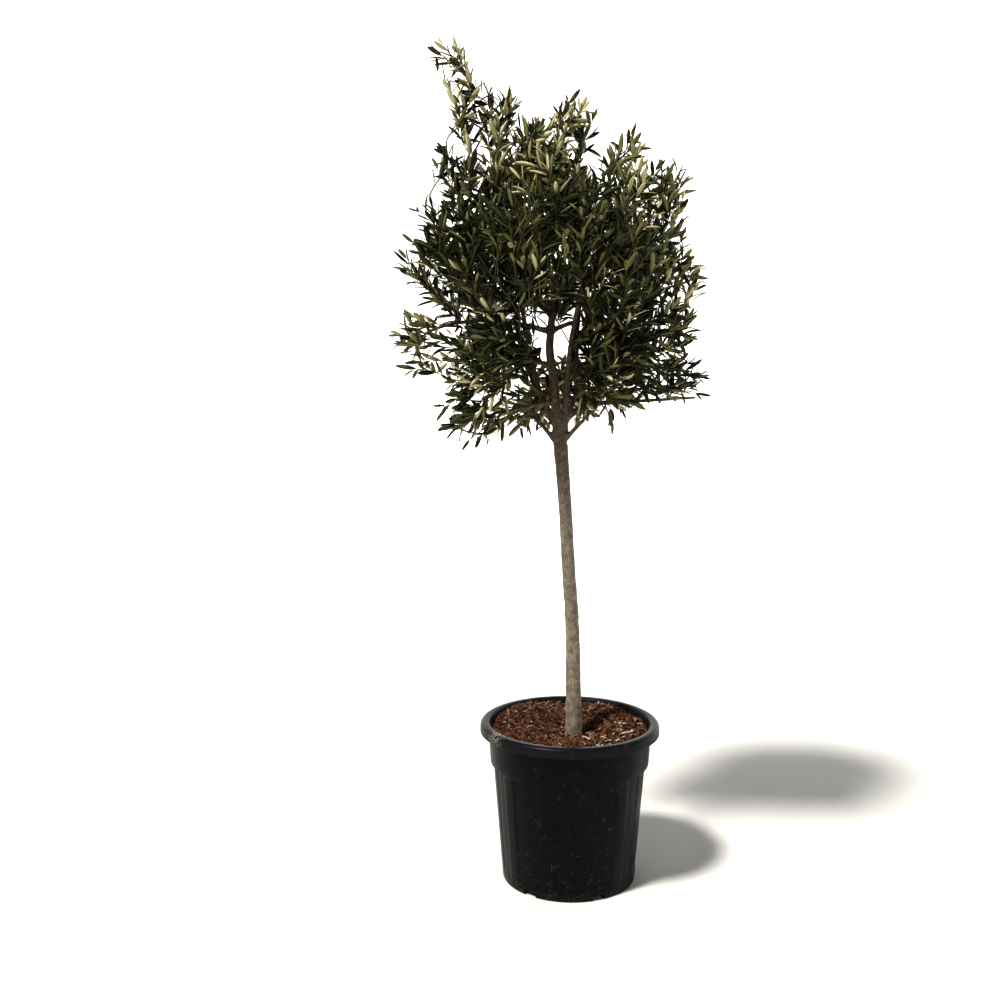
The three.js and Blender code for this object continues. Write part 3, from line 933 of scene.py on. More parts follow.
@dataclass
class Compost:
    """The bark compost: a crumbly surface over a solid plug, with loose bits strewn on it."""

    spacing: float = 1.7 * MM
    crumb_height: float = 8 * MM
    crumb_pitch: float = 7 * MM
    lump_height: float = 2.6 * MM
    lump_pitch: float = 19 * MM
    heap_back: float = 6 * MM
    heap_run: float = 100 * MM
    straws_from: float = 30 * MM
    straws_back: float = 30 * MM
    seed: int = 31
    edge_gap: float = 0.5 * MM
    clear_edge: float = 8 * MM
    spokes: int = 300
    top: BVHTree | None = field(init=False, default=None)

    def build(self) -> None:
        """Makes the compost and everything that lies on it."""
        shape = welded("soil")
        self.top = BVHTree.FromBMesh(shape)
        low, high = (np.array(corner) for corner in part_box("soil"))
        radius = (high[0] - low[0]) / 2 - self.edge_gap
        surface_corners, surface_faces = self.surface(radius)
        rings = len(surface_corners) // self.spokes
        corners, faces = list(surface_corners), list(surface_faces)
        rim = (rings - 1) * self.spokes
        last = rim
        pot = NurseryPot()
        inset = pot.wall + self.edge_gap
        for side_radius, height in (
            (pot.collar_radius - inset, pot.collar_bottom + 3.5 * MM),
            (pot.body_radius - inset, pot.collar_bottom - 0.5 * MM),
            (pot.foot_radius - inset, float(low[2])),
        ):
            level = len(corners)
            corners += ring(side_radius, height, self.spokes)
            faces += ring_faces(last, level, self.spokes)
            last = level
        bottom = len(corners)
        corners.append((0.0, 0.0, float(low[2])))
        faces += [(last + spoke, bottom, last + (spoke + 1) % self.spokes) for spoke in range(self.spokes)]
        mesh = mesh_of("compost", corners, faces)
        mesh.materials.append(BarkCompost().build())
        compost = new_object("compost", mesh)
        outward(compost.data)
        finish_piece(compost, ["soil"])
        open_rings = rings - round(self.clear_edge / self.spacing)
        inner_faces = surface_faces[: (open_rings - 1) * self.spokes]
        self.strew(surface_corners[: open_rings * self.spokes], inner_faces)

    def level(self, x: float, y: float) -> float:
        """The compost's height at a place: the CAD top with lumps and crumbs added.

        Args:
            x: How far the place lies to the right.
            y: How far it lies to the back.

        Returns:
            The height.
        """
        hit = self.top.ray_cast(Vector((x, y, 1.0)), Vector((0, 0, -1)))[0]
        base = hit.z if hit else SOIL_TOP
        spot = Vector((x, y, 0.0))
        lumps = noise.fractal(spot / self.lump_pitch, 1.0, 2.0, 2) * self.lump_height
        crumbs = noise.turbulence(spot / self.crumb_pitch, 4, False) * self.crumb_height
        heap = self.heap_back * min(1.0, max(0.0, y / self.heap_run))
        return base + lumps + crumbs + heap - 0.5 * self.crumb_height

    def surface(self, radius: float) -> tuple[list[tuple], list[tuple]]:
        """The uneven top, as rings of points from the middle out.

        Args:
            radius: The outermost ring's radius.

        Returns:
            Its corners and its faces.
        """
        rows = round(radius / self.spacing)
        corners, faces = [], []
        for row in range(rows):
            reach = radius * (row + 0.5) / (rows - 0.5)
            corners += [(x, y, self.level(x, y)) for x, y, _ in ring(reach, 0.0, self.spokes)]
            if row:
                faces += ring_faces(row * self.spokes, (row - 1) * self.spokes, self.spokes)
        faces.append(tuple(range(self.spokes)))
        return corners, faces

    def strew(self, corners: list[tuple], faces: list[tuple]) -> None:
        """Scatters bark fibres, crumbs, white grains and straws over the top.

        Args:
            corners: The corners of the ground that they lie on.
            faces: Its faces.
        """
        kinds = (
            Litter("bark_fibre_dark", "#2a1c15", 8000.0, (9.0, 20.0), 1.9, 1.0, LitterShape.FIBRE, 0.5),
            Litter("bark_fibre_brown", "#7a5540", 11000.0, (8.0, 19.0), 1.8, 0.9, LitterShape.FIBRE, 0.6),
            Litter("bark_fibre_light", "#b48466", 6500.0, (7.0, 17.0), 1.6, 0.8, LitterShape.FIBRE, 0.6),
            Litter("bark_crumb", "#583d2e", 14000.0, (2.4, 5.8), 1.0, 0.8, LitterShape.CRUMB, 0.9),
            Litter("white_grain", "#efe9dc", 1300.0, (1.7, 3.3), 1.0, 0.9, LitterShape.CRUMB, 0.9),
            Litter("pale_chip", "#ecdfc4", 1700.0, (3.5, 8.0), 1.9, 0.9, LitterShape.FIBRE, 0.45),
            Litter("dry_straw", "#f0e5c8", 2300.0, (14.0, 32.0), 2.0, 1.2, LitterShape.STRAW, 0.16),
        )
        beside = []
        for face in faces:
            x, y = corners[face[0]][:2]
            if x > self.straws_from and y < self.straws_back:
                beside.append(face)
        for number, litter in enumerate(kinds):
            mesh = mesh_of("strewn_on", corners, beside if litter.shape is LitterShape.STRAW else faces)
            litter.build(mesh, self.seed + number)


def ring_faces(first: int, second: int, count: int) -> list[tuple[int, int, int, int]]:
    """The faces between two rings of points.

    Args:
        first: The number of the first ring's first point.
        second: The number of the second ring's first point.
        count: How many points each ring has.

    Returns:
        The numbers of each face's corners.
    """
    return [
        (first + spoke, first + (spoke + 1) % count, second + (spoke + 1) % count, second + spoke)
        for spoke in range(count)
    ]


def outward(mesh: Mesh) -> None:
    """Turns a closed mesh's faces outwards.

    Args:
        mesh: The mesh.
    """
    shape = bmesh.new()
    shape.from_mesh(mesh)
    bmesh.ops.recalc_face_normals(shape, faces=shape.faces)
    shape.to_mesh(mesh)
    shape.free()


class LitterShape(Enum):
    """The shapes of the loose bits in the compost."""

    FIBRE = "fibre"
    CRUMB = "crumb"
    STRAW = "straw"


@dataclass(frozen=True)
class Litter:
    """One kind of loose bit: its colour, how many lie on a square metre, and its size range in mm."""

    name: str
    colour: str
    density: float
    lengths: tuple[float, float]
    width: float
    thickness: float
    shape: LitterShape
    tilt: float
    variants: int = 4

    def blank(self, seed: int) -> Mesh:
        """One bit, 1 unit long for a fibre or straw and 1 unit across for a crumb.

        Args:
            seed: The seed of its unevenness.

        Returns:
            The bit's mesh.
        """
        rng = np.random.default_rng(seed)
        if self.shape is LitterShape.CRUMB:
            shape = bmesh.new()
            bmesh.ops.create_icosphere(shape, subdivisions=1, radius=0.5)
            for vert in shape.verts:
                vert.co *= 1 + 0.28 * rng.uniform(-1, 1)
            mesh = bpy.data.meshes.new("crumb")
            shape.to_mesh(mesh)
            shape.free()
            return mesh
        steps = 3 if self.shape is LitterShape.STRAW else 5
        bend = 0.02 if self.shape is LitterShape.STRAW else 0.16
        middle = sum(self.lengths) / 2
        wide, thick = self.width / middle, self.thickness / middle
        corners, faces = [], []
        for step in range(steps + 1):
            share = step / steps
            swell = 1.0 if self.shape is LitterShape.STRAW else 0.35 + 0.65 * math.sin(math.pi * share)
            drift = bend * math.sin(math.pi * share) + bend * 0.4 * rng.uniform(-1, 1)
            lift = bend * 0.5 * math.sin(math.pi * share) + bend * 0.3 * rng.uniform(-1, 1)
            for side, top in ((-1, -1), (1, -1), (1, 1), (-1, 1)):
                corners.append((share - 0.5, drift + side * wide * swell / 2, lift + top * thick * swell / 2))
            if step:
                faces += ring_faces((step - 1) * 4, step * 4, 4)
        faces += [(3, 2, 1, 0), tuple(steps * 4 + corner for corner in range(4))]
        mesh = mesh_of("sliver", corners, faces, smooth=False)
        outward(mesh)
        return mesh

    def build(self, ground: Mesh, seed: int) -> None:
        """Strews the bits on the ground by Geometry Nodes.

        Args:
            ground: The mesh that they lie on.
            seed: The seed of their places and shapes.
        """
        blanks = (self.blank(seed * 10 + number) for number in range(self.variants))
        shapes = shape_set(self.name + "_shapes", blanks)
        piece = run_nodes("compost_" + self.name, ground, self.tree(), {
            "Shapes": shapes,
            "Per square metre": self.density,
            "Shortest": self.lengths[0] * MM,
            "Longest": self.lengths[1] * MM,
            "Tilt": self.tilt,
            "Seed": seed,
            "Material": PlainFinish(self.name, self.colour, 0.88, 0.2).build(),
        })
        discard(shapes)
        finish_piece(piece)

    def tree(self) -> NodeTree:
        """The rule that strews shapes on a surface, each turned, tilted and sized at random.

        Returns:
            The tree.
        """
        tree, given = nodes_tree("strew", {
            "Shapes": "NodeSocketCollection",
            "Per square metre": "NodeSocketFloat",
            "Shortest": "NodeSocketFloat",
            "Longest": "NodeSocketFloat",
            "Tilt": "NodeSocketFloat",
            "Seed": "NodeSocketInt",
            "Material": "NodeSocketMaterial",
        })
        seed, tilt = given.outputs["Seed"], given.outputs["Tilt"]
        ground, density = given.outputs["Geometry"], given.outputs["Per square metre"]
        spots = {"Mesh": ground, "Density": density, "Seed": seed}
        spread = add(tree, "GeometryNodeDistributePointsOnFaces", spots)
        back = add(tree, MATH, {0: tilt, 1: -1.0}, operation="MULTIPLY")
        most = add(tree, VECTOR, {0: tilt, 1: tilt, 2: math.pi})
        least = add(tree, VECTOR, {0: back.outputs[0], 1: back.outputs[0], 2: -math.pi})
        turns = {0: least.outputs[0], 1: most.outputs[0], "Seed": seed}
        turn = add(tree, RANDOM, turns, data_type="FLOAT_VECTOR")
        sizes = {2: given.outputs["Shortest"], 3: given.outputs["Longest"], "Seed": seed}
        size = add(tree, RANDOM, sizes, data_type="FLOAT")
        apart = {"Collection": given.outputs["Shapes"], "Separate Children": True, "Reset Children": True}
        shapes = add(tree, SHAPES, apart)
        copies = add(
            tree,
            COPIES,
            {
                "Points": spread.outputs["Points"],
                "Instance": shapes.outputs[0],
                "Pick Instance": True,
                "Rotation": turn.outputs[0],
                "Scale": size.outputs[1],
            },
        )
        end_tree(tree, copies.outputs[0], given.outputs["Material"])
        return tree


# --- Reading the CAD wood and foliage ---


def welded(name: str) -> bmesh.types.BMesh:
    """A CAD node's mesh with its loose triangles joined.

    Args:
        name: The node.

    Returns:
        The mesh, for the caller to free.
    """
    shape = bmesh.new()
    shape.from_mesh(frame["nodes"][name].data)
    bmesh.ops.remove_doubles(shape, verts=shape.verts, dist=1e-5)
    return shape


@dataclass
class Stem:
    """One woody axis: its points from base to tip, and its radius at each."""

    points: np.ndarray
    radii: np.ndarray

    def tangents(self) -> np.ndarray:
        """The direction of growth at each point."""
        steps = np.gradient(self.points, axis=0)
        return steps / np.maximum(np.linalg.norm(steps, axis=1, keepdims=True), TINY)

    def length(self) -> float:
        """The stem's length along its points."""
        return float(np.linalg.norm(np.diff(self.points, axis=0), axis=1).sum())

    def resampled(self, step: float) -> "Stem":
        """The same stem as a smooth curve through its points.

        Args:
            step: How far apart the new points are.

        Returns:
            The new stem.
        """
        count = len(self.points)
        before_base = 2 * self.points[0] - self.points[1]
        after_tip = 2 * self.points[-1] - self.points[-2]
        padded = np.vstack([before_base, self.points, after_tip])
        dense, radii = [], []
        for index in range(count - 1):
            before, start, end, after = padded[index : index + 4]
            for share in np.linspace(0, 1, CURVE_STEPS, endpoint=False):
                dense.append(
                    0.5
                    * (
                        2 * start
                        + (end - before) * share
                        + (2 * before - 5 * start + 4 * end - after) * share**2
                        + (3 * start - before - 3 * end + after) * share**3
                    )
                )
                radii.append(self.radii[index] * (1 - share) + self.radii[index + 1] * share)
        dense = np.array(dense + [self.points[-1]])
        radii = np.array(radii + [self.radii[-1]])
        along = distances(dense)
        marks = np.linspace(0, along[-1], max(3, int(round(along[-1] / step)) + 1))
        points = np.stack([np.interp(marks, along, dense[:, axis]) for axis in range(3)], axis=1)
        return Stem(points, np.interp(marks, along, radii))


def centreline(name: str, stations: int) -> Stem:
    """The middle line and radii of a CAD limb, from even cuts across it.

    Args:
        name: The limb's node.
        stations: How many cuts to make.

    Returns:
        The limb as a stem, in no set direction.
    """
    shape = welded(name)
    corners = np.array([vert.co for vert in shape.verts])
    middle = corners.mean(axis=0)
    axis = np.linalg.svd(corners - middle)[2][0]
    along = (corners - middle) @ axis
    points, radii = [], []
    for share in np.linspace(0.03, 0.97, stations):
        place = middle + axis * (along.min() + share * (along.max() - along.min()))
        parts = shape.verts[:] + shape.edges[:] + shape.faces[:]
        cut = bmesh.ops.bisect_plane(shape, geom=parts, plane_co=place, plane_no=axis)["geom_cut"]
        edges = [part for part in cut if isinstance(part, bmesh.types.BMEdge)]
        if not edges:
            continue
        lengths = np.array([edge.calc_length() for edge in edges])
        middles = np.array([(edge.verts[0].co + edge.verts[1].co) / 2 for edge in edges])
        centre = (middles * lengths[:, None]).sum(axis=0) / max(lengths.sum(), TINY)
        points.append(centre)
        radii.append(lengths.sum() / (2 * math.pi))
    shape.free()
    return Stem(np.array(points), np.array(radii))


@dataclass
class Envelope:
    """The outline of one CAD mass of foliage, which its twigs and leaves fill."""

    name: str
    outside: float = 0.5
    centre: np.ndarray = field(init=False)
    half: np.ndarray = field(init=False)
    volume: float = field(init=False)
    long_axis: np.ndarray = field(init=False)
    slimness: float = field(init=False)
    surface: BVHTree = field(init=False)

    def __post_init__(self) -> None:
        """Measures the mass."""
        shape = welded(self.name)
        self.volume = shape.calc_volume()
        corners = np.array([vert.co for vert in shape.verts])
        low, high = corners.min(axis=0), corners.max(axis=0)
        self.centre = corners.mean(axis=0)
        self.half = (high - low) / 2
        spread = np.linalg.svd(corners - self.centre)
        self.long_axis = spread[2][0]
        self.slimness = float(spread[1][0] / spread[1][1])
        self.surface = BVHTree.FromBMesh(shape)
        shape.free()

    def reach(self, direction: np.ndarray) -> float:
        """How far the outline lies from the middle in a direction.

        Args:
            direction: The direction, of length 1.

        Returns:
            The distance.
        """
        far = self.centre + direction * self.outside
        hit = self.surface.ray_cast(Vector(far), Vector(-direction), self.outside)[0]
        return float(np.linalg.norm(np.array(hit) - self.centre)) if hit else 0.0

    def depth(self, point: np.ndarray) -> float:
        """How far inside the outline a point lies.

        Args:
            point: The point.

        Returns:
            The depth, which is below zero outside.
        """
        away = point - self.centre
        distance = float(np.linalg.norm(away))
        return self.reach(unit(away)) - distance


# --- The growing rule ---


class CrownPart(Enum):
    """The parts of the crown; each is one piece of leaves and one piece of twigs."""

    TOP = ("spire_tip", "spire", "left_crest", "crown_top", "right_crest", "back_top")
    SHOULDERS = (
        "right_shoot", "left_shoot", "left_shoulder", "upper_left", "upper_middle", "upper_right",
        "right_shoulder",
    )
    FRONT = ("front_left", "front", "front_right")
    MIDDLE = ("left", "heart", "right", "right_knob")
    BACK = ("back_left", "back", "back_right")
    LOWER = (
        "lower_left", "left_tip", "middle_left", "middle_right", "right_lower", "front_low_left",
        "front_low_right",
    )
    BASE = ("low_left", "low_middle", "low_right", "right_tip", "back_low", "back_low_left", "back_low_right")


@dataclass
class Spray:
    """One leafy shoot: its stem, its colour group, where along it the leaves start, and its part."""

    stem: Stem
    tint: int
    bare: float
    part: CrownPart


@dataclass
class WoodMap:
    """Every place on the wood from which a shoot may grow."""

    places: np.ndarray = field(default_factory=lambda: np.zeros((0, 3)))
    headings: np.ndarray = field(default_factory=lambda: np.zeros((0, 3)))
    owners: list[tuple[Stem, int]] = field(default_factory=list)
    usual_reach: float = 70 * MM
    closest: float = 32 * MM
    far: float = 60 * MM

    def enter(self, stem: Stem, first: int, last: int) -> None:
        """Adds some of a stem's points.

        Args:
            stem: The stem.
            first: The number of its first point to add.
            last: The number of the point to stop before.
        """
        self.places = np.vstack([self.places, stem.points[first:last]])
        self.headings = np.vstack([self.headings, stem.tangents()[first:last]])
        self.owners += [(stem, index) for index in range(first, min(last, len(stem.points)))]

    def best_base(self, tip: np.ndarray, heading: np.ndarray) -> tuple[Stem, int]:
        """The place that leads best to a tip: near, behind it, and already growing that way.

        Args:
            tip: The tip.
            heading: The way that the shoot points there.

        Returns:
            The stem, and the number of the point on it.
        """
        way = tip - self.places
        distance = np.maximum(np.linalg.norm(way, axis=1), 1e-6)
        way = way / distance[:, None]
        arriving = np.arccos(np.clip(way @ heading, -1, 1))
        leaving = np.arccos(np.clip(np.einsum("ij,ij->i", way, self.headings), -1, 1))
        cost = distance / self.usual_reach + arriving**2 + 0.4 * leaving**2
        cost = cost + 4 * np.maximum(0, 1 - distance / self.closest)
        cost = cost + 3 * np.maximum(0, distance / self.far - 1.8)
        return self.owners[int(cost.argmin())]


@dataclass
class Growth:
    """Grows the wood and the leafy shoots of the crown out of the CAD boughs, into the CAD masses.

    Each mass first gets a limb of its own. Shoot tips are then dealt out evenly through the masses, closer
    together near the crown's outside, and a shoot grows to each from the wood that best leads there.
    """

    seed: int = 7
    step: float = 6 * MM
    outer_gap: float = 24 * MM
    inner_gap: float = 40 * MM
    shell_start: float = 22 * MM
    shell: float = 60 * MM
    overlap: float = 9 * MM
    tip_depth: float = 13 * MM
    leafy_length: float = 74 * MM
    shoot_radius: float = 0.9 * MM
    stoutest_shoot: float = 1.7 * MM
    slim: float = 1.45
    slim_gap: float = 1.3
    thinnest_tip: float = 0.65 * MM
    core: tuple[float, float, float] = (-0.03, 0.0, 0.87)
    level_below: float = 0.84
    rising_over: float = 0.2
    lowest_lift: float = -0.12
    lift_gain: float = 0.62
    spine_short: float = 18 * MM
    spine_end: float = 22 * MM
    spine_wander: float = 0.08
    spine_jitter: float = 0.5 * MM
    option_pitch: float = 9 * MM
    beyond_crown: float = 0.7
    # Painted light: above this height and left of the side mark, sprays are paler.
    sunlit_young_height: float = 1.17
    sunlit_side: float = 0.03
    high: float = 1.22
    # Painted shade: the heart of the crown, where sprays take darker tops.
    shaded_heart_lift: float = 0.13
    shaded_heart_radius: float = 0.14
    rng: np.random.Generator = field(init=False)
    limbs: list[Stem] = field(init=False, default_factory=list)
    sprays: list[Spray] = field(init=False, default_factory=list)
    wood: WoodMap = field(init=False, default_factory=WoodMap)
    masses: list[Envelope] = field(init=False, default_factory=list)
    centres: np.ndarray = field(init=False)
    sizes: np.ndarray = field(init=False)

    def __post_init__(self) -> None:
        """Seeds the growth."""
        self.rng = np.random.default_rng(self.seed)

    def run(self) -> None:
        """Reads the boughs, gives every mass its limb, and then grows the shoots from the inside out."""
        self.read_limbs()
        part_of = {"foliage_" + name: part for part in CrownPart for name in part.value}
        self.masses = [Envelope(name) for name in part_of]
        self.centres = np.array([envelope.centre for envelope in self.masses])
        self.sizes = np.array([float(np.linalg.norm(envelope.half)) for envelope in self.masses])
        pending = list(self.masses)
        while pending:
            anchors = [self.best_anchor(envelope) for envelope in pending]
            chosen = min(range(len(pending)), key=lambda index: anchors[index][0])
            envelope = pending.pop(chosen)
            _, limb, point = anchors[chosen]
            self.grow_spine(envelope, self.limbs[limb], point, part_of[envelope.name])
        for stem in self.limbs[1:]:
            self.wood.enter(stem, 2, len(stem.points) - 1)
        tips = self.scatter_tips()
        LOG.info("crown: %d shoots", len(tips))
        for tip, envelope in sorted(tips, key=lambda item: np.linalg.norm(item[0] - np.array(self.core))):
            self.grow_shoot(tip, part_of[envelope.name])

    def read_limbs(self) -> None:
        """Reads the trunk and boughs from the frame, each from its parent outwards."""
        names = [name for name in frame["nodes"] if name.startswith("bough_")]
        trunk = centreline("trunk", 22)
        if trunk.points[0][2] > trunk.points[-1][2]:
            trunk = Stem(trunk.points[::-1], trunk.radii[::-1])
        self.limbs = [trunk.resampled(self.step)]
        for name in ["leader"] + sorted(names):
            limb = centreline(name, 12)
            wood = np.vstack([stem.points for stem in self.limbs])
            ends = (limb.points[0], limb.points[-1])
            first, last = (np.linalg.norm(wood - end, axis=1).min() for end in ends)
            if last < first:
                limb = Stem(limb.points[::-1], limb.radii[::-1])
            nearest = wood[np.linalg.norm(wood - limb.points[0], axis=1).argmin()]
            limb = Stem(np.vstack([nearest, limb.points]), np.concatenate([limb.radii[:1], limb.radii]))
            limb = limb.resampled(self.step)
            along = self.step * np.arange(len(limb.radii))
            if name == "leader":
                limb.radii = np.maximum(limb.radii, trunk.radii[-1] * (1.02 - 0.5 * along / (55 * MM)))
            else:
                limb.radii = limb.radii * (1 + 0.35 * np.exp(-along / (11 * MM)))
            self.limbs.append(limb)

    def best_anchor(self, envelope: Envelope) -> tuple[float, int, int]:
        """Finds the wood that a mass grows from.

        Args:
            envelope: The mass.

        Returns:
            The cost of the anchor, the limb's number and the point's number on it.
        """
        best = (math.inf, 0, 0)
        for number, stem in enumerate(self.limbs):
            if number == 0:
                continue
            away = envelope.centre - stem.points
            distance = np.linalg.norm(away, axis=1)
            above = np.maximum(0, stem.points[:, 2] - envelope.centre[2] + 0.02)
            backward = 1 - np.einsum("ij,ij->i", away / np.maximum(distance, 1e-6)[:, None], stem.tangents())
            thin = np.maximum(0, 2.0 * MM - stem.radii) * 12
            cost = distance + 1.1 * above + 0.035 * backward + thin
            point = int(cost.argmin())
            if cost[point] < best[0]:
                best = (float(cost[point]), number, point)
        return best

    def heading_at(self, place: np.ndarray) -> np.ndarray:
        """The way that shoots point at a place: out from the crown's root and up, level low down.

        Args:
            place: The place.

        Returns:
            The direction, of length 1.
        """
        rise = float(np.clip((place[2] - self.level_below) / self.rising_over, 0, 1))
        lift = self.lowest_lift + self.lift_gain * rise
        return unit(unit(place - np.array(self.core)) + lift * UP)

    def grow_spine(self, envelope: Envelope, parent: Stem, point: int, part: CrownPart) -> None:
        """Grows a mass's own limb from its anchor, through its middle, to near its far end.

        Args:
            envelope: The mass.
            parent: The limb that it grows from.
            point: Where on the parent.
            part: The part of the crown.
        """
        start = parent.points[point]
        to_middle = envelope.centre - start
        distance = float(np.linalg.norm(to_middle))
        at_end = point >= len(parent.points) - 3
        leave = unit(parent.tangents()[point] * (1.0 if at_end else 0.55) + unit(to_middle) * 0.6)
        onward = unit(unit(to_middle) + 1.2 * self.heading_at(envelope.centre))
        slim = envelope.slimness > self.slim
        if slim:
            sign = 1.0 if envelope.long_axis @ onward > 0 else -1.0
            onward = unit(onward + 2.5 * sign * envelope.long_axis)
        reach = envelope.reach(onward)
        wander = self.spine_wander * envelope.half * self.rng.uniform(-1, 1, 3)
        way = [start]
        if distance > self.spine_short:
            way.append(start + leave * 0.34 * distance)
        end = envelope.centre + onward * max(0.5 * reach, reach - self.spine_end)
        way += [envelope.centre + wander, end]
        thick = min(parent.radii[point] * (0.92 if at_end else 0.7), (1.4 + 12 * (distance + reach)) * MM)
        radii = np.linspace(max(thick, 1.3 * MM), 0.9 * MM, len(way))
        spine = Stem(np.array(way), radii).resampled(self.step)
        spine.points[1:-1] += self.rng.normal(0, self.spine_jitter, spine.points[1:-1].shape)
        self.limbs.append(spine)
        leafy = (1.5 * reach if slim else self.leafy_length) / max(spine.length(), 1e-6)
        self.sprays.append(Spray(spine, self.pick_tint(envelope.centre), max(0.12, 1 - leafy), part))

    def pick_tint(self, place: np.ndarray) -> int:
        """The colour group of a spray: more are pale high in the crown, where leaves are young and lit, most
        of all on the sunlit left, and more are dark in the crown's heart; the pale bias is partly painted
        light and the dark one painted shade.

        Args:
            place: The spray's place.

        Returns:
            The group's number among the upper faces' finishes.
        """
        shares = np.array(LEAF_TINT_SHARES)
        # Paler tops high in the crown: young growth, and painted light, most on the sunlit left.
        if place[2] > self.sunlit_young_height and place[0] < self.sunlit_side:
            shares = shares * np.array(SUNLIT_YOUNG_TINTS)
        elif place[2] > self.high:
            shares = shares * np.array(HIGH_LIT_TINTS)
        # Darker tops in the crown's heart: painted shade.
        elif np.linalg.norm(place - np.array(self.core) - self.shaded_heart_lift * UP) < self.shaded_heart_radius:
            shares = shares * np.array(HEART_SHADE_TINTS)
        return int(self.rng.choice(len(shares), p=shares / shares.sum()))

    def scatter_tips(self) -> list[tuple[np.ndarray, Envelope]]:
        """Deals shoot tips out through the masses, none closer to another than the gap at its depth.

        Returns:
            Each tip's place, and the mass that it lies in.
        """
        outline = whole_outline(self.masses)
        options = []
        for envelope in self.masses:
            half = envelope.half + self.overlap
            count = round(8 * float(np.prod(half)) / self.option_pitch**3)
            for spot in envelope.centre + self.rng.uniform(-1, 1, (count, 3)) * half:
                if envelope.depth(spot) < -self.overlap:
                    continue
                out = unit(spot - np.array(self.core))
                far = Vector(spot + self.beyond_crown * out)
                hit = outline.ray_cast(far, Vector(-out), self.beyond_crown)[0]
                depth = float(np.linalg.norm(np.array(hit) - spot)) if hit else 0.0
                if depth >= self.tip_depth:
                    options.append((spot, envelope, depth))
        self.rng.shuffle(options)
        taken, tips = np.zeros((0, 3)), []
        for spot, envelope, depth in options:
            share = float(np.clip((depth - self.shell_start) / self.shell, 0, 1))
            gap = self.outer_gap + share * (self.inner_gap - self.outer_gap)
            if envelope.slimness > self.slim:
                gap *= self.slim_gap
            if len(taken) and np.linalg.norm(taken - spot, axis=1).min() < gap:
                continue
            taken = np.vstack([taken, spot])
            tips.append((spot, envelope))
        return tips

    def stray(self, point: np.ndarray, limit: float) -> bool:
        """Whether a point lies too far outside every mass.

        Args:
            point: The point.
            limit: How far outside a mass is too far.

        Returns:
            Whether it does.
        """
        order = np.linalg.norm(self.centres - point, axis=1) - self.sizes
        for number in np.argsort(order):
            if order[number] > limit:
                return True
            if self.masses[number].depth(point) > -limit:
                return False
        return True

    def grow_shoot(self, tip: np.ndarray, part: CrownPart) -> None:
        """Grows one shoot to a tip, and thickens the stem that carries it.

        Args:
            tip: Where the shoot ends.
            part: The part of the crown that it belongs to.
        """
        heading = unit(self.heading_at(tip) + 0.3 * self.rng.normal(size=3))
        parent, index = self.wood.best_base(tip, heading)
        start = parent.points[index]
        length = float(np.linalg.norm(tip - start))
        way = unit(tip - start)
        leave = unit(0.5 * parent.tangents()[index] + 0.8 * way)
        arrive = unit(way + 0.9 * heading)
        first, second = start + leave * 0.36 * length, tip - arrive * 0.36 * length
        shares = np.linspace(0, 1, 6)[:, None]
        points = (
            (1 - shares) ** 3 * start
            + 3 * (1 - shares) ** 2 * shares * first
            + 3 * (1 - shares) * shares**2 * second
            + shares**3 * tip
        )
        thick = min(self.shoot_radius * (0.8 + 5 * length), parent.radii[index] * 0.95)
        shoot = Stem(points, np.linspace(thick, self.thinnest_tip, len(points))).resampled(self.step)
        if not any(parent is limb for limb in self.limbs):
            carried = (parent.radii[: index + 1] ** 2.2 + 0.6 * thick**2.2) ** (1 / 2.2)
            parent.radii[: index + 1] = np.minimum(carried, self.stoutest_shoot)
        bare = max(0.14, 1 - self.leafy_length / length)
        self.sprays.append(Spray(shoot, self.pick_tint(tip), bare, part))
        self.wood.enter(shoot, 2, max(3, round(0.7 * len(shoot.points))))


def whole_outline(masses: list[Envelope]) -> BVHTree:
    """One search tree over the outlines of all the masses.

    Args:
        masses: The masses.

    Returns:
        The tree.
    """
    corners, faces = [], []
    for envelope in masses:
        shape = welded(envelope.name)
        first = len(corners)
        corners += [tuple(vert.co) for vert in shape.verts]
        faces += [tuple(first + vert.index for vert in face.verts) for face in shape.faces]
        shape.free()
    return BVHTree.FromPolygons(corners, faces)


# --- Wood ---


def stems_mesh(name: str, stems: Iterable[Stem]) -> Mesh:
    """A mesh of loose edges along stems, with each point's radius as an attribute.

    Args:
        name: The mesh's name.
        stems: The stems.

    Returns:
        The mesh.
    """
    corners, edges, radii = [], [], []
    for stem in stems:
        first = len(corners)
        corners += [tuple(point) for point in stem.points]
        radii += list(stem.radii)
        edges += [(first + step, first + step + 1) for step in range(len(stem.points) - 1)]
    mesh = bpy.data.meshes.new(name)
    mesh.from_pydata(corners, edges, [])
    attribute = mesh.attributes.new("thickness", "FLOAT", "POINT")
    attribute.data.foreach_set("value", np.array(radii, dtype=np.float32))
    return mesh


def tube_tree() -> NodeTree:
    """The rule that sweeps a round section along loose edges, as thick as their attribute says.

    Returns:
        The tree.
    """
    tree, given = nodes_tree("tubes", {"Sides": "NodeSocketInt", "Material": "NodeSocketMaterial"})
    curve = add(tree, "GeometryNodeMeshToCurve", {"Mesh": given.outputs["Geometry"]})
    thickness = add(tree, ATTRIBUTE, {"Name": "thickness"}, data_type="FLOAT")
    circle = {"Resolution": given.outputs["Sides"], "Radius": 1.0}
    section = add(tree, "GeometryNodeCurvePrimitiveCircle", circle)
    tube = add(
        tree,
        "GeometryNodeCurveToMesh",
        {
            "Curve": curve.outputs[0],
            "Profile Curve": section.outputs[0],
            "Scale": thickness.outputs[0],
            "Fill Caps": True,
        },
    )
    smooth = add(tree, "GeometryNodeSetShadeSmooth", {"Geometry": tube.outputs[0]})
    end_tree(tree, smooth.outputs[0], given.outputs["Material"])
    return tree


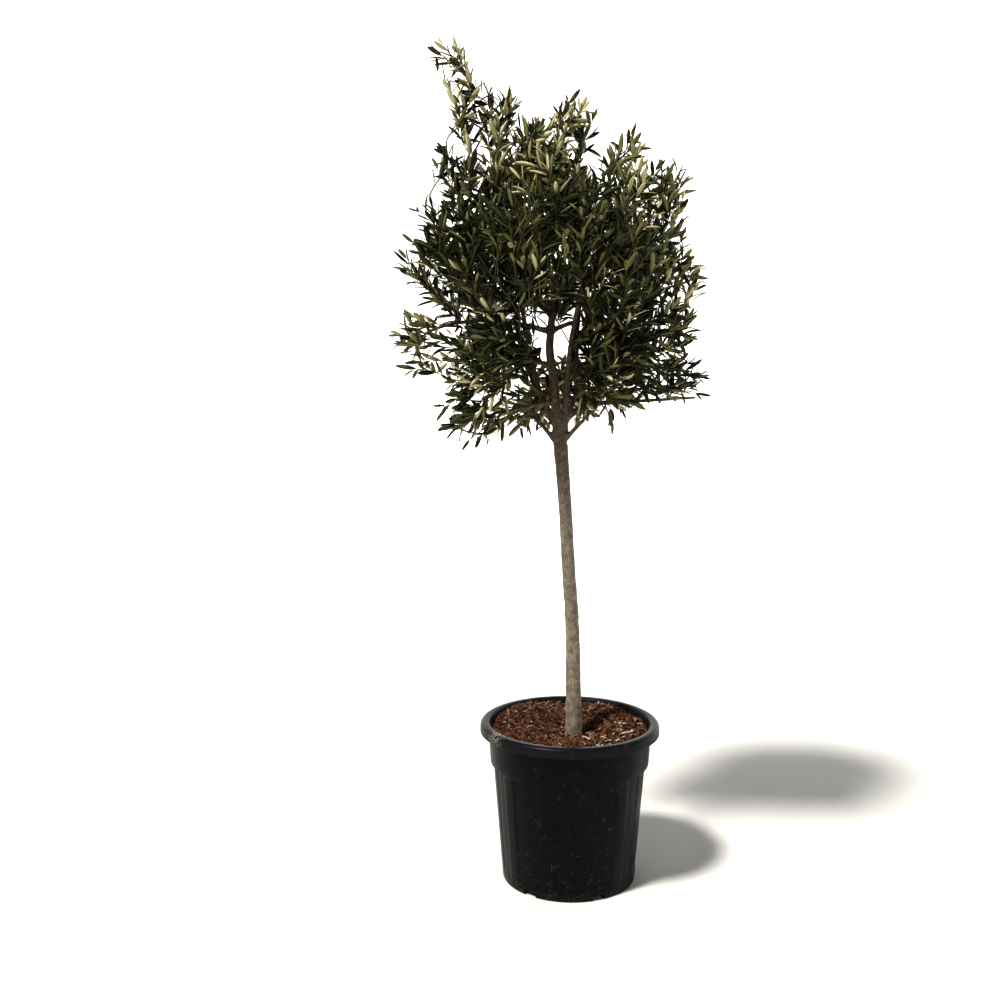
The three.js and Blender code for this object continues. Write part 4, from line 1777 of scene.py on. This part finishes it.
@dataclass
class Wood:
    """The trunk, boughs and inner limbs as one barked skin."""

    growth: Growth
    sides: int = 20
    voxel: float = 1.45 * MM
    flare_height: float = 20 * MM
    rib_height: float = 0.5 * MM
    ridge_pitch: float = 3.2 * MM
    ridge_height: float = 0.22 * MM
    ridge_stretch: float = 0.22
    lump_pitch: float = 17 * MM
    lump_height: float = 0.7 * MM
    scars: int = 9
    scar_lip: float = 0.9 * MM
    scar_pit: float = 0.7 * MM
    below_ground: float = 5 * MM

    def build(self) -> None:
        """Makes the wood, presses its relief in, and dresses it."""
        stems = []
        for number, stem in enumerate(self.growth.limbs):
            points, radii = stem.points, stem.radii
            if number == 0:
                foot = points[0] - UP * (points[0][2] - SOIL_TOP + self.below_ground)
                points = np.vstack([foot, points])
                radii = np.concatenate([radii[:1], radii])
            thick = radii >= SKIN_THINNEST
            count = int(thick.argmin()) if not thick.all() else len(thick)
            if count >= 3:
                stems.append(Stem(points[:count], radii[:count]))
        lines = stems_mesh("wood_lines", stems)
        tubes = run_nodes("wood_tubes", lines, tube_tree(), {"Sides": self.sides})
        skin = tubes.modifiers.new("one_skin", "REMESH")
        skin.mode = "VOXEL"
        skin.voxel_size = self.voxel
        ease = tubes.modifiers.new("ease_joints", "SMOOTH")
        ease.factor = 0.5
        ease.iterations = 4
        wood = settled("olive_wood", tubes)
        self.press_relief(wood.data)
        wood.data.materials.clear()
        wood.data.materials.append(YoungBark(fork_height=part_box("trunk")[1][2]).build())
        wood.data.shade_smooth()
        names = [name for name in frame["nodes"] if name.startswith("bough_")]
        finish_piece(wood, ["trunk", "leader"] + names)

    def press_relief(self, mesh: Mesh) -> None:
        """Moves the skin in and out: root ribs, lumps, fine upright ridges and healed scars.

        Args:
            mesh: The skin.
        """
        trunk = self.growth.limbs[0]
        fork = trunk.points[-1][2]
        rng = np.random.default_rng(self.growth.seed + 1)
        scars = []
        for height in np.linspace(SOIL_TOP + 0.06, fork - 0.04, self.scars):
            middle = interpolated(height, trunk.points[:, 2], trunk.points)
            angle = rng.uniform(0, 2 * math.pi)
            radius = np.interp(height, trunk.points[:, 2], trunk.radii)
            place = middle + radius * np.array([math.cos(angle), math.sin(angle), 0])
            scars.append((place, rng.uniform(3, 5) * MM))
        scar_places = np.array([place for place, _ in scars])
        scar_sizes = np.array([size for _, size in scars])
        moves = []
        for vert in mesh.vertices:
            place = vert.co
            on_trunk = min(1.0, max(0.0, (fork + 0.03 - place.z) / 0.06))
            size = 0.35 + 0.65 * on_trunk
            upright = Vector((place.x, place.y, place.z * self.ridge_stretch)) / self.ridge_pitch
            ridges = noise.fractal(upright, 1.0, 2.1, 3) * self.ridge_height * size
            lumps = noise.noise(place / self.lump_pitch) * self.lump_height * size
            rise = max(0.0, place.z - SOIL_TOP)
            bearing = math.atan2(place.y - trunk.points[0][1], place.x - trunk.points[0][0])
            ribs = self.rib_height * math.cos(3 * bearing + 0.8) * math.exp(-rise / self.flare_height)
            move = ridges + lumps + ribs * on_trunk
            if on_trunk:
                gaps = np.linalg.norm(scar_places - np.array(place), axis=1) / scar_sizes
                near = int(gaps.argmin())
                if gaps[near] < 2.2:
                    lip = math.exp(-((gaps[near] - 1) ** 2) / 0.12)
                    pit = math.exp(-(gaps[near] ** 2) / 0.25)
                    move += self.scar_lip * lip - self.scar_pit * pit
            moves.append(vert.normal * move)
        for vert, move in zip(mesh.vertices, moves, strict=True):
            vert.co += move


# --- Leaves and twigs ---


class LeafFace(Enum):
    """The kinds of face on a leaf, which take different finishes."""

    TOP = 0
    UNDERSIDE = 1
    RIB = 2


@dataclass(frozen=True)
class LeafShape:
    """One olive leaf blade, 1 unit long along +X with its upper face towards +Z.

    It is a closed shell: the upper and lower faces meet at the margin and part at the midrib.
    """

    width: float
    bend: float
    fold: float
    sway: float
    stalk: float = 0.09
    stalk_width: float = 0.012
    rib: float = 0.011
    thickness: float = 0.014
    stations: tuple[float, ...] = (0.1, 0.26, 0.52, 0.78, 0.945)

    def outline(self, share: float) -> float:
        """Half the blade's width at a share of its length: widest a little past the middle."""
        blade = (share - self.stalk) / (1 - self.stalk)
        return self.width / 2 * max(0.0, math.sin(math.pi * max(0.0, blade))) ** 0.5

    def spot(self, share: float, side: float, lift: float) -> tuple[float, float, float]:
        """A point of the bent and folded blade.

        Args:
            share: How far along the blade the point is.
            side: How far from the midrib.
            lift: How far above the flat blade.

        Returns:
            The point.
        """
        drop = -self.bend * share**2
        turn = self.sway * share**2
        return (share - 0.15 * abs(self.bend) * share**2, side + turn, drop + lift + self.fold * abs(side))

    def build(self) -> Mesh:
        """Makes the blade, with an attribute that tells each face's kind.

        Returns:
            The blade's mesh.
        """
        corners, faces, kinds, rows = [], [], [], []
        for share in self.stations:
            half = max(self.stalk_width, self.outline(share))
            rib = min(self.rib, half * 0.4)
            row = [(-half, 0.0), (-rib, 0.5), (rib, 0.5), (half, 0.0), (0.0, -0.5)]
            rows.append(len(corners))
            corners += [self.spot(share, side, lift * self.thickness) for side, lift in row]
        start, end = len(corners), len(corners) + 1
        corners += [self.spot(0.0, 0.0, 0.0), self.spot(1.0, 0.0, 0.0)]
        top, under, middle = (kind.value for kind in LeafFace)
        for low, high in zip(rows[:-1], rows[1:], strict=True):
            for left, kind in enumerate((top, middle, top, under, under)):
                right = (left + 1) % 5
                faces.append((low + left, high + left, high + right, low + right))
                kinds.append(kind)
        for left, kind in enumerate((top, top, top, under, under)):
            right = (left + 1) % 5
            faces.append((start, rows[0] + left, rows[0] + right))
            faces.append((rows[-1] + left, end, rows[-1] + right))
            kinds += [kind, kind]
        mesh = mesh_of("leaf", corners, faces)
        attribute = mesh.attributes.new("face_kind", "INT", "FACE")
        attribute.data.foreach_set("value", kinds)
        return mesh


LEAF_SHAPES = (
    LeafShape(width=0.215, bend=0.10, fold=0.35, sway=0.03),
    LeafShape(width=0.235, bend=0.03, fold=0.22, sway=-0.04),
    LeafShape(width=0.19, bend=0.20, fold=0.45, sway=0.07),
    LeafShape(width=0.25, bend=-0.08, fold=0.30, sway=-0.06),
    LeafShape(width=0.205, bend=0.14, fold=0.18, sway=0.0),
)


@dataclass
class Foliage:
    """The leaves and twigs of one part of the crown."""

    part: CrownPart
    growth: Growth
    materials: dict[str, Material]
    pair_gap: float = 12.5 * MM
    leaf_length: float = 38 * MM
    tip_leaf: float = 0.72
    furthest_out: float = 16 * MM
    missing: float = 0.1
    missing_at_tip: float = 0.02
    opening: float = 52.0
    closing: float = 14.0
    tip_opening: float = 24.0
    face_lift: float = 0.22
    face_noise: float = 0.42
    twig_sides: int = 6
    kind_step: int = 10

    def build(self, shapes: Collection) -> None:
        """Makes the part's leaves as one piece, and its twigs and shoots as two more.

        Args:
            shapes: The leaf blades to pick from.
        """
        sprays = [spray for spray in self.growth.sprays if spray.part is self.part]
        label = self.part.name.lower()
        nodes = ["foliage_" + name for name in self.part.value]
        points = self.leaf_points(sprays)
        leaves = run_nodes(f"olive_leaves_{label}", points, self.leaf_tree(), {"Leaf shapes": shapes})
        finish_piece(leaves, nodes)
        limbs = self.growth.limbs
        young = [spray.stem for spray in sprays if not any(spray.stem is limb for limb in limbs)]
        older = [self.thin_part(spray) for spray in sprays if any(spray.stem is limb for limb in limbs)]
        for name, stems, key in (("twigs", young, "young"), ("shoots", older, "brown")):
            values = {"Sides": self.twig_sides, "Material": self.materials[key]}
            tubes = run_nodes(f"olive_{name}_{label}", stems_mesh(name, stems), tube_tree(), values)
            finish_piece(tubes)

    def thin_part(self, spray: Spray) -> Stem:
        """The part of a spray's stem that isn't in the barked skin already, with a little overlap.

        Args:
            spray: The spray.

        Returns:
            That part of its stem.
        """
        stem = spray.stem
        thin = np.flatnonzero(stem.radii < SKIN_THINNEST)
        first = max(0, int(thin[0]) - 3) if len(thin) else len(stem.points) - 2
        return Stem(stem.points[first:], stem.radii[first:])

    def leaf_points(self, sprays: list[Spray]) -> Mesh:
        """A point for each leaf, with its turn, length, shape and tint as attributes.

        Args:
            sprays: The sprays that carry the leaves.

        Returns:
            The points' mesh.
        """
        rng = np.random.default_rng(self.growth.seed * 100 + list(CrownPart).index(self.part))
        places, turns, lengths, picks, tints = [], [], [], [], []
        for spray in sprays:
            stem = spray.stem
            along = distances(stem.points)
            tangents = stem.tangents()
            total = along[-1]
            place = total * spray.bare
            turn = rng.uniform(0, math.pi)
            marks = []
            while place < total - 0.4 * self.pair_gap:
                marks.append(place)
                place += self.pair_gap * rng.uniform(0.8, 1.2)
            marks.append(total)
            for number, mark in enumerate(marks):
                share = mark / total
                base = interpolated(mark, along, stem.points)
                tangent = unit(interpolated(mark, along, tangents))
                turn += math.pi / 2 + rng.normal(0, 0.2)
                at_tip = number == len(marks) - 1
                for side in (0.0, math.pi):
                    if rng.random() < (self.missing_at_tip if at_tip else self.missing):
                        continue
                    out = across(tangent, turn + side + rng.normal(0, 0.12))
                    opening = self.tip_opening if at_tip else self.opening - self.closing * share
                    open_angle = math.radians(opening) + rng.normal(0, 0.16)
                    way = unit(math.cos(open_angle) * tangent + math.sin(open_angle) * out)
                    way = unit(way + rng.uniform(-0.12, 0.06) * UP)
                    face = unit(tangent - (tangent @ way) * way)
                    face = unit(face + self.face_lift * UP + self.face_noise * rng.normal(size=3))
                    face = unit(face - (face @ way) * way)
                    cross = np.cross(face, way)
                    matrix = Matrix((way, cross, face)).transposed()
                    length = self.leaf_length * rng.uniform(0.72, 1.18) * (self.tip_leaf if at_tip else 1.0)
                    if self.growth.stray(base + way * length, self.furthest_out):
                        continue
                    places.append(base)
                    turns.append(tuple(matrix.to_euler()))
                    lengths.append(length)
                    picks.append(int(rng.integers(len(LEAF_SHAPES))))
                    tints.append(spray.tint)
        mesh = bpy.data.meshes.new("leaf_points")
        mesh.from_pydata([tuple(place) for place in places], [], [])
        for name, kind, field_name, values in (
            ("turn", "FLOAT_VECTOR", "vector", np.array(turns, dtype=np.float32).ravel()),
            ("leaf_length", "FLOAT", "value", np.array(lengths, dtype=np.float32)),
            ("shape", "INT", "value", np.array(picks, dtype=np.int32)),
            ("tint", "INT", "value", np.array(tints, dtype=np.int32)),
        ):
            attribute = mesh.attributes.new(name, kind, "POINT")
            attribute.data.foreach_set(field_name, values)
        LOG.info("%s: %d leaves", self.part.name, len(places))
        return mesh

    def leaf_tree(self) -> NodeTree:
        """The rule that sets a leaf on each point and deals out the colours by spray.

        Returns:
            The tree.
        """
        tree, given = nodes_tree("leaves", {"Leaf shapes": "NodeSocketCollection"})
        points = add(tree, "GeometryNodeMeshToPoints", {"Mesh": given.outputs["Geometry"]})
        read = {}
        for name, kind in (
            ("turn", "FLOAT_VECTOR"),
            ("leaf_length", "FLOAT"),
            ("shape", "INT"),
            ("tint", "INT"),
            ("face_kind", "INT"),
        ):
            read[name] = add(tree, ATTRIBUTE, {"Name": name}, data_type=kind).outputs[0]
        rotation = add(tree, "FunctionNodeEulerToRotation", {0: read["turn"]})
        blades = {"Collection": given.outputs["Leaf shapes"], "Separate Children": True}
        shapes = add(tree, SHAPES, blades | {"Reset Children": True})
        copies = add(
            tree,
            COPIES,
            {
                "Points": points.outputs[0],
                "Instance": shapes.outputs[0],
                "Pick Instance": True,
                "Instance Index": read["shape"],
                "Rotation": rotation.outputs[0],
                "Scale": read["leaf_length"],
            },
        )
        flow = add(tree, REALIZE, {0: copies.outputs[0]}).outputs[0]
        tens = add(tree, MATH, {0: read["face_kind"], 1: float(self.kind_step)}, operation="MULTIPLY")
        code = add(tree, MATH, {0: tens.outputs[0], 1: read["tint"]}, operation="ADD")
        for number, material in self.deal().items():
            same = {0: code.outputs[0], 1: float(number), "Epsilon": 0.4}
            chosen = add(tree, "FunctionNodeCompare", same, data_type="FLOAT", operation="EQUAL")
            dressed = {"Geometry": flow, "Selection": chosen.outputs[0], "Material": material}
            flow = add(tree, DRESS, dressed).outputs[0]
        add(tree, OUTPUT, {0: flow})
        return tree

    def deal(self) -> dict[int, Material]:
        """Which material each face takes.

        Returns:
            The material for each code, which is ten times the face's kind plus its spray's tint.
        """
        table = {}
        for tint in range(len(LEAF_TOPS)):
            # Paler tints take paler undersides: the undersides' painted light and shade follow the tints.
            under = min((tint + 1) // 2, len(LEAF_UNDERSIDES) - 1)
            for kind, key in (
                (LeafFace.TOP, f"top_{tint}"),
                (LeafFace.UNDERSIDE, f"under_{under}"),
                (LeafFace.RIB, "rib"),
            ):
                table[self.kind_step * kind.value + tint] = self.materials[key]
        return table


@dataclass
class Crown:
    """Everything that grows on the boughs."""

    growth: Growth

    def build(self) -> None:
        """Makes every part of the crown from one set of leaf shapes and materials."""
        materials = {f"top_{number}": finish.build() for number, finish in enumerate(LEAF_TOPS)}
        materials |= {f"under_{number}": finish.build() for number, finish in enumerate(LEAF_UNDERSIDES)}
        materials["rib"] = LEAF_RIB.build()
        materials["young"], materials["brown"] = (finish.build() for finish in SHOOT_BARK)
        shapes = shape_set("leaf_shapes", (leaf.build() for leaf in LEAF_SHAPES))
        for part in CrownPart:
            Foliage(part, self.growth, materials).build(shapes)
        discard(shapes)


# --- Studio ---


@dataclass
class Studio:
    """A round sweep of pale paper, one soft sun, a light on the sweep, and the camera."""

    distance: float = 1.94
    aside: float = -0.1208
    eye_height: float = 0.888
    pitch: float = 6.64
    lens: float = 41.4
    film_width: float = 36.0
    floor_radius: float = 4.4
    bend: float = 1.9
    wall_top: float = 3.6
    bend_steps: int = 24
    facets: int = 128
    paper: str = "#f6f6f5"
    air_colour: tuple[float, float, float, float] = (0.98, 0.99, 1.0, 1.0)
    air_strength: float = 0.09
    sun_from: tuple[float, float, float] = (-0.433, -0.373, 0.821)
    sun_power: float = 3.8
    sun_width: float = 9.0
    sun_colour: tuple[float, float, float] = (1.0, 0.965, 0.91)
    wash_place: tuple[float, float, float] = (0.0, 3.0, 4.6)
    wash_target: tuple[float, float, float] = (0.0, 6.3, 2.4)
    wash_power: float = 300.0
    wash_size: tuple[float, float] = (9.0, 1.2)
    film_gamma: float = 0.8

    def build(self) -> None:
        """Makes the sweep, the lights and the camera."""
        sweep = self.sweep()
        world = bpy.data.worlds.new("studio_air")
        world.use_nodes = True
        air = world.node_tree.nodes["Background"]
        air.inputs["Color"].default_value = self.air_colour
        air.inputs["Strength"].default_value = self.air_strength
        scene = bpy.context.scene
        scene.world = world
        sun = self.lamp("sun", "SUN", self.sun_from, (0.0, 0.0, 0.0), self.sun_power)
        sun.angle = math.radians(self.sun_width)
        sun.color = self.sun_colour
        wash = self.lamp("sweep_light", "AREA", self.wash_place, self.wash_target, self.wash_power)
        wash.shape = "RECTANGLE"
        wash.size, wash.size_y = self.wash_size
        scene.view_settings.view_transform = "Standard"
        scene.view_settings.gamma = self.film_gamma
        lens = bpy.data.cameras.new("camera")
        lens.lens = self.lens
        lens.sensor_width = self.film_width
        camera = bpy.data.objects.new("camera", lens)
        camera.location = (self.aside, -self.distance, self.eye_height)
        camera.rotation_euler = Euler((math.radians(90 - self.pitch), 0.0, 0.0))
        scene.collection.objects.link(camera)
        scene.camera = camera

    def sweep(self) -> Object:
        """Makes the round sweep: a flat floor that bends up into a low wall all round.

        Returns:
            The sweep.
        """
        line = [(self.floor_radius, 0.0)]
        for turn in range(1, self.bend_steps + 1):
            angle = math.radians(90 * turn / self.bend_steps)
            rise = self.bend * (1 - math.cos(angle))
            line.append((self.floor_radius + self.bend * math.sin(angle), rise))
        line.append((self.floor_radius + self.bend, self.wall_top))
        corners, faces = [], [tuple(range(self.facets))]
        for row, (radius, height) in enumerate(line):
            corners += ring(radius, height, self.facets)
            if row:
                faces += ring_faces(row * self.facets, (row - 1) * self.facets, self.facets)
        sweep = new_object("studio_sweep", mesh_of("studio_sweep", corners, faces))
        sweep.data.materials.append(PlainFinish("matt_white_paper", self.paper, 0.95, 0.0).build())
        return sweep

    def lamp(self, name: str, kind: str, place: tuple, target: tuple, power: float) -> Light:
        """Adds a light.

        Args:
            name: Its name.
            kind: Its type.
            place: Where it hangs.
            target: What it is turned to.
            power: Its power.

        Returns:
            The light.
        """
        light = bpy.data.lights.new(name, kind)
        light.energy = power
        lamp = bpy.data.objects.new(name, light)
        lamp.location = place
        lamp.rotation_euler = (Vector(target) - Vector(place)).to_track_quat("-Z", "Y").to_euler()
        bpy.context.scene.collection.objects.link(lamp)
        return light


def main() -> None:
    """Builds the pot, the compost, the wood and the crown, and sets the studio round them."""
    logging.basicConfig(level=logging.INFO, format="%(asctime)s %(message)s")
    Studio().build()
    NurseryPot().build()
    Compost().build()
    growth = Growth()
    growth.run()
    Wood(growth).build()
    Crown(growth).build()


if __name__ == "__main__":
    main()
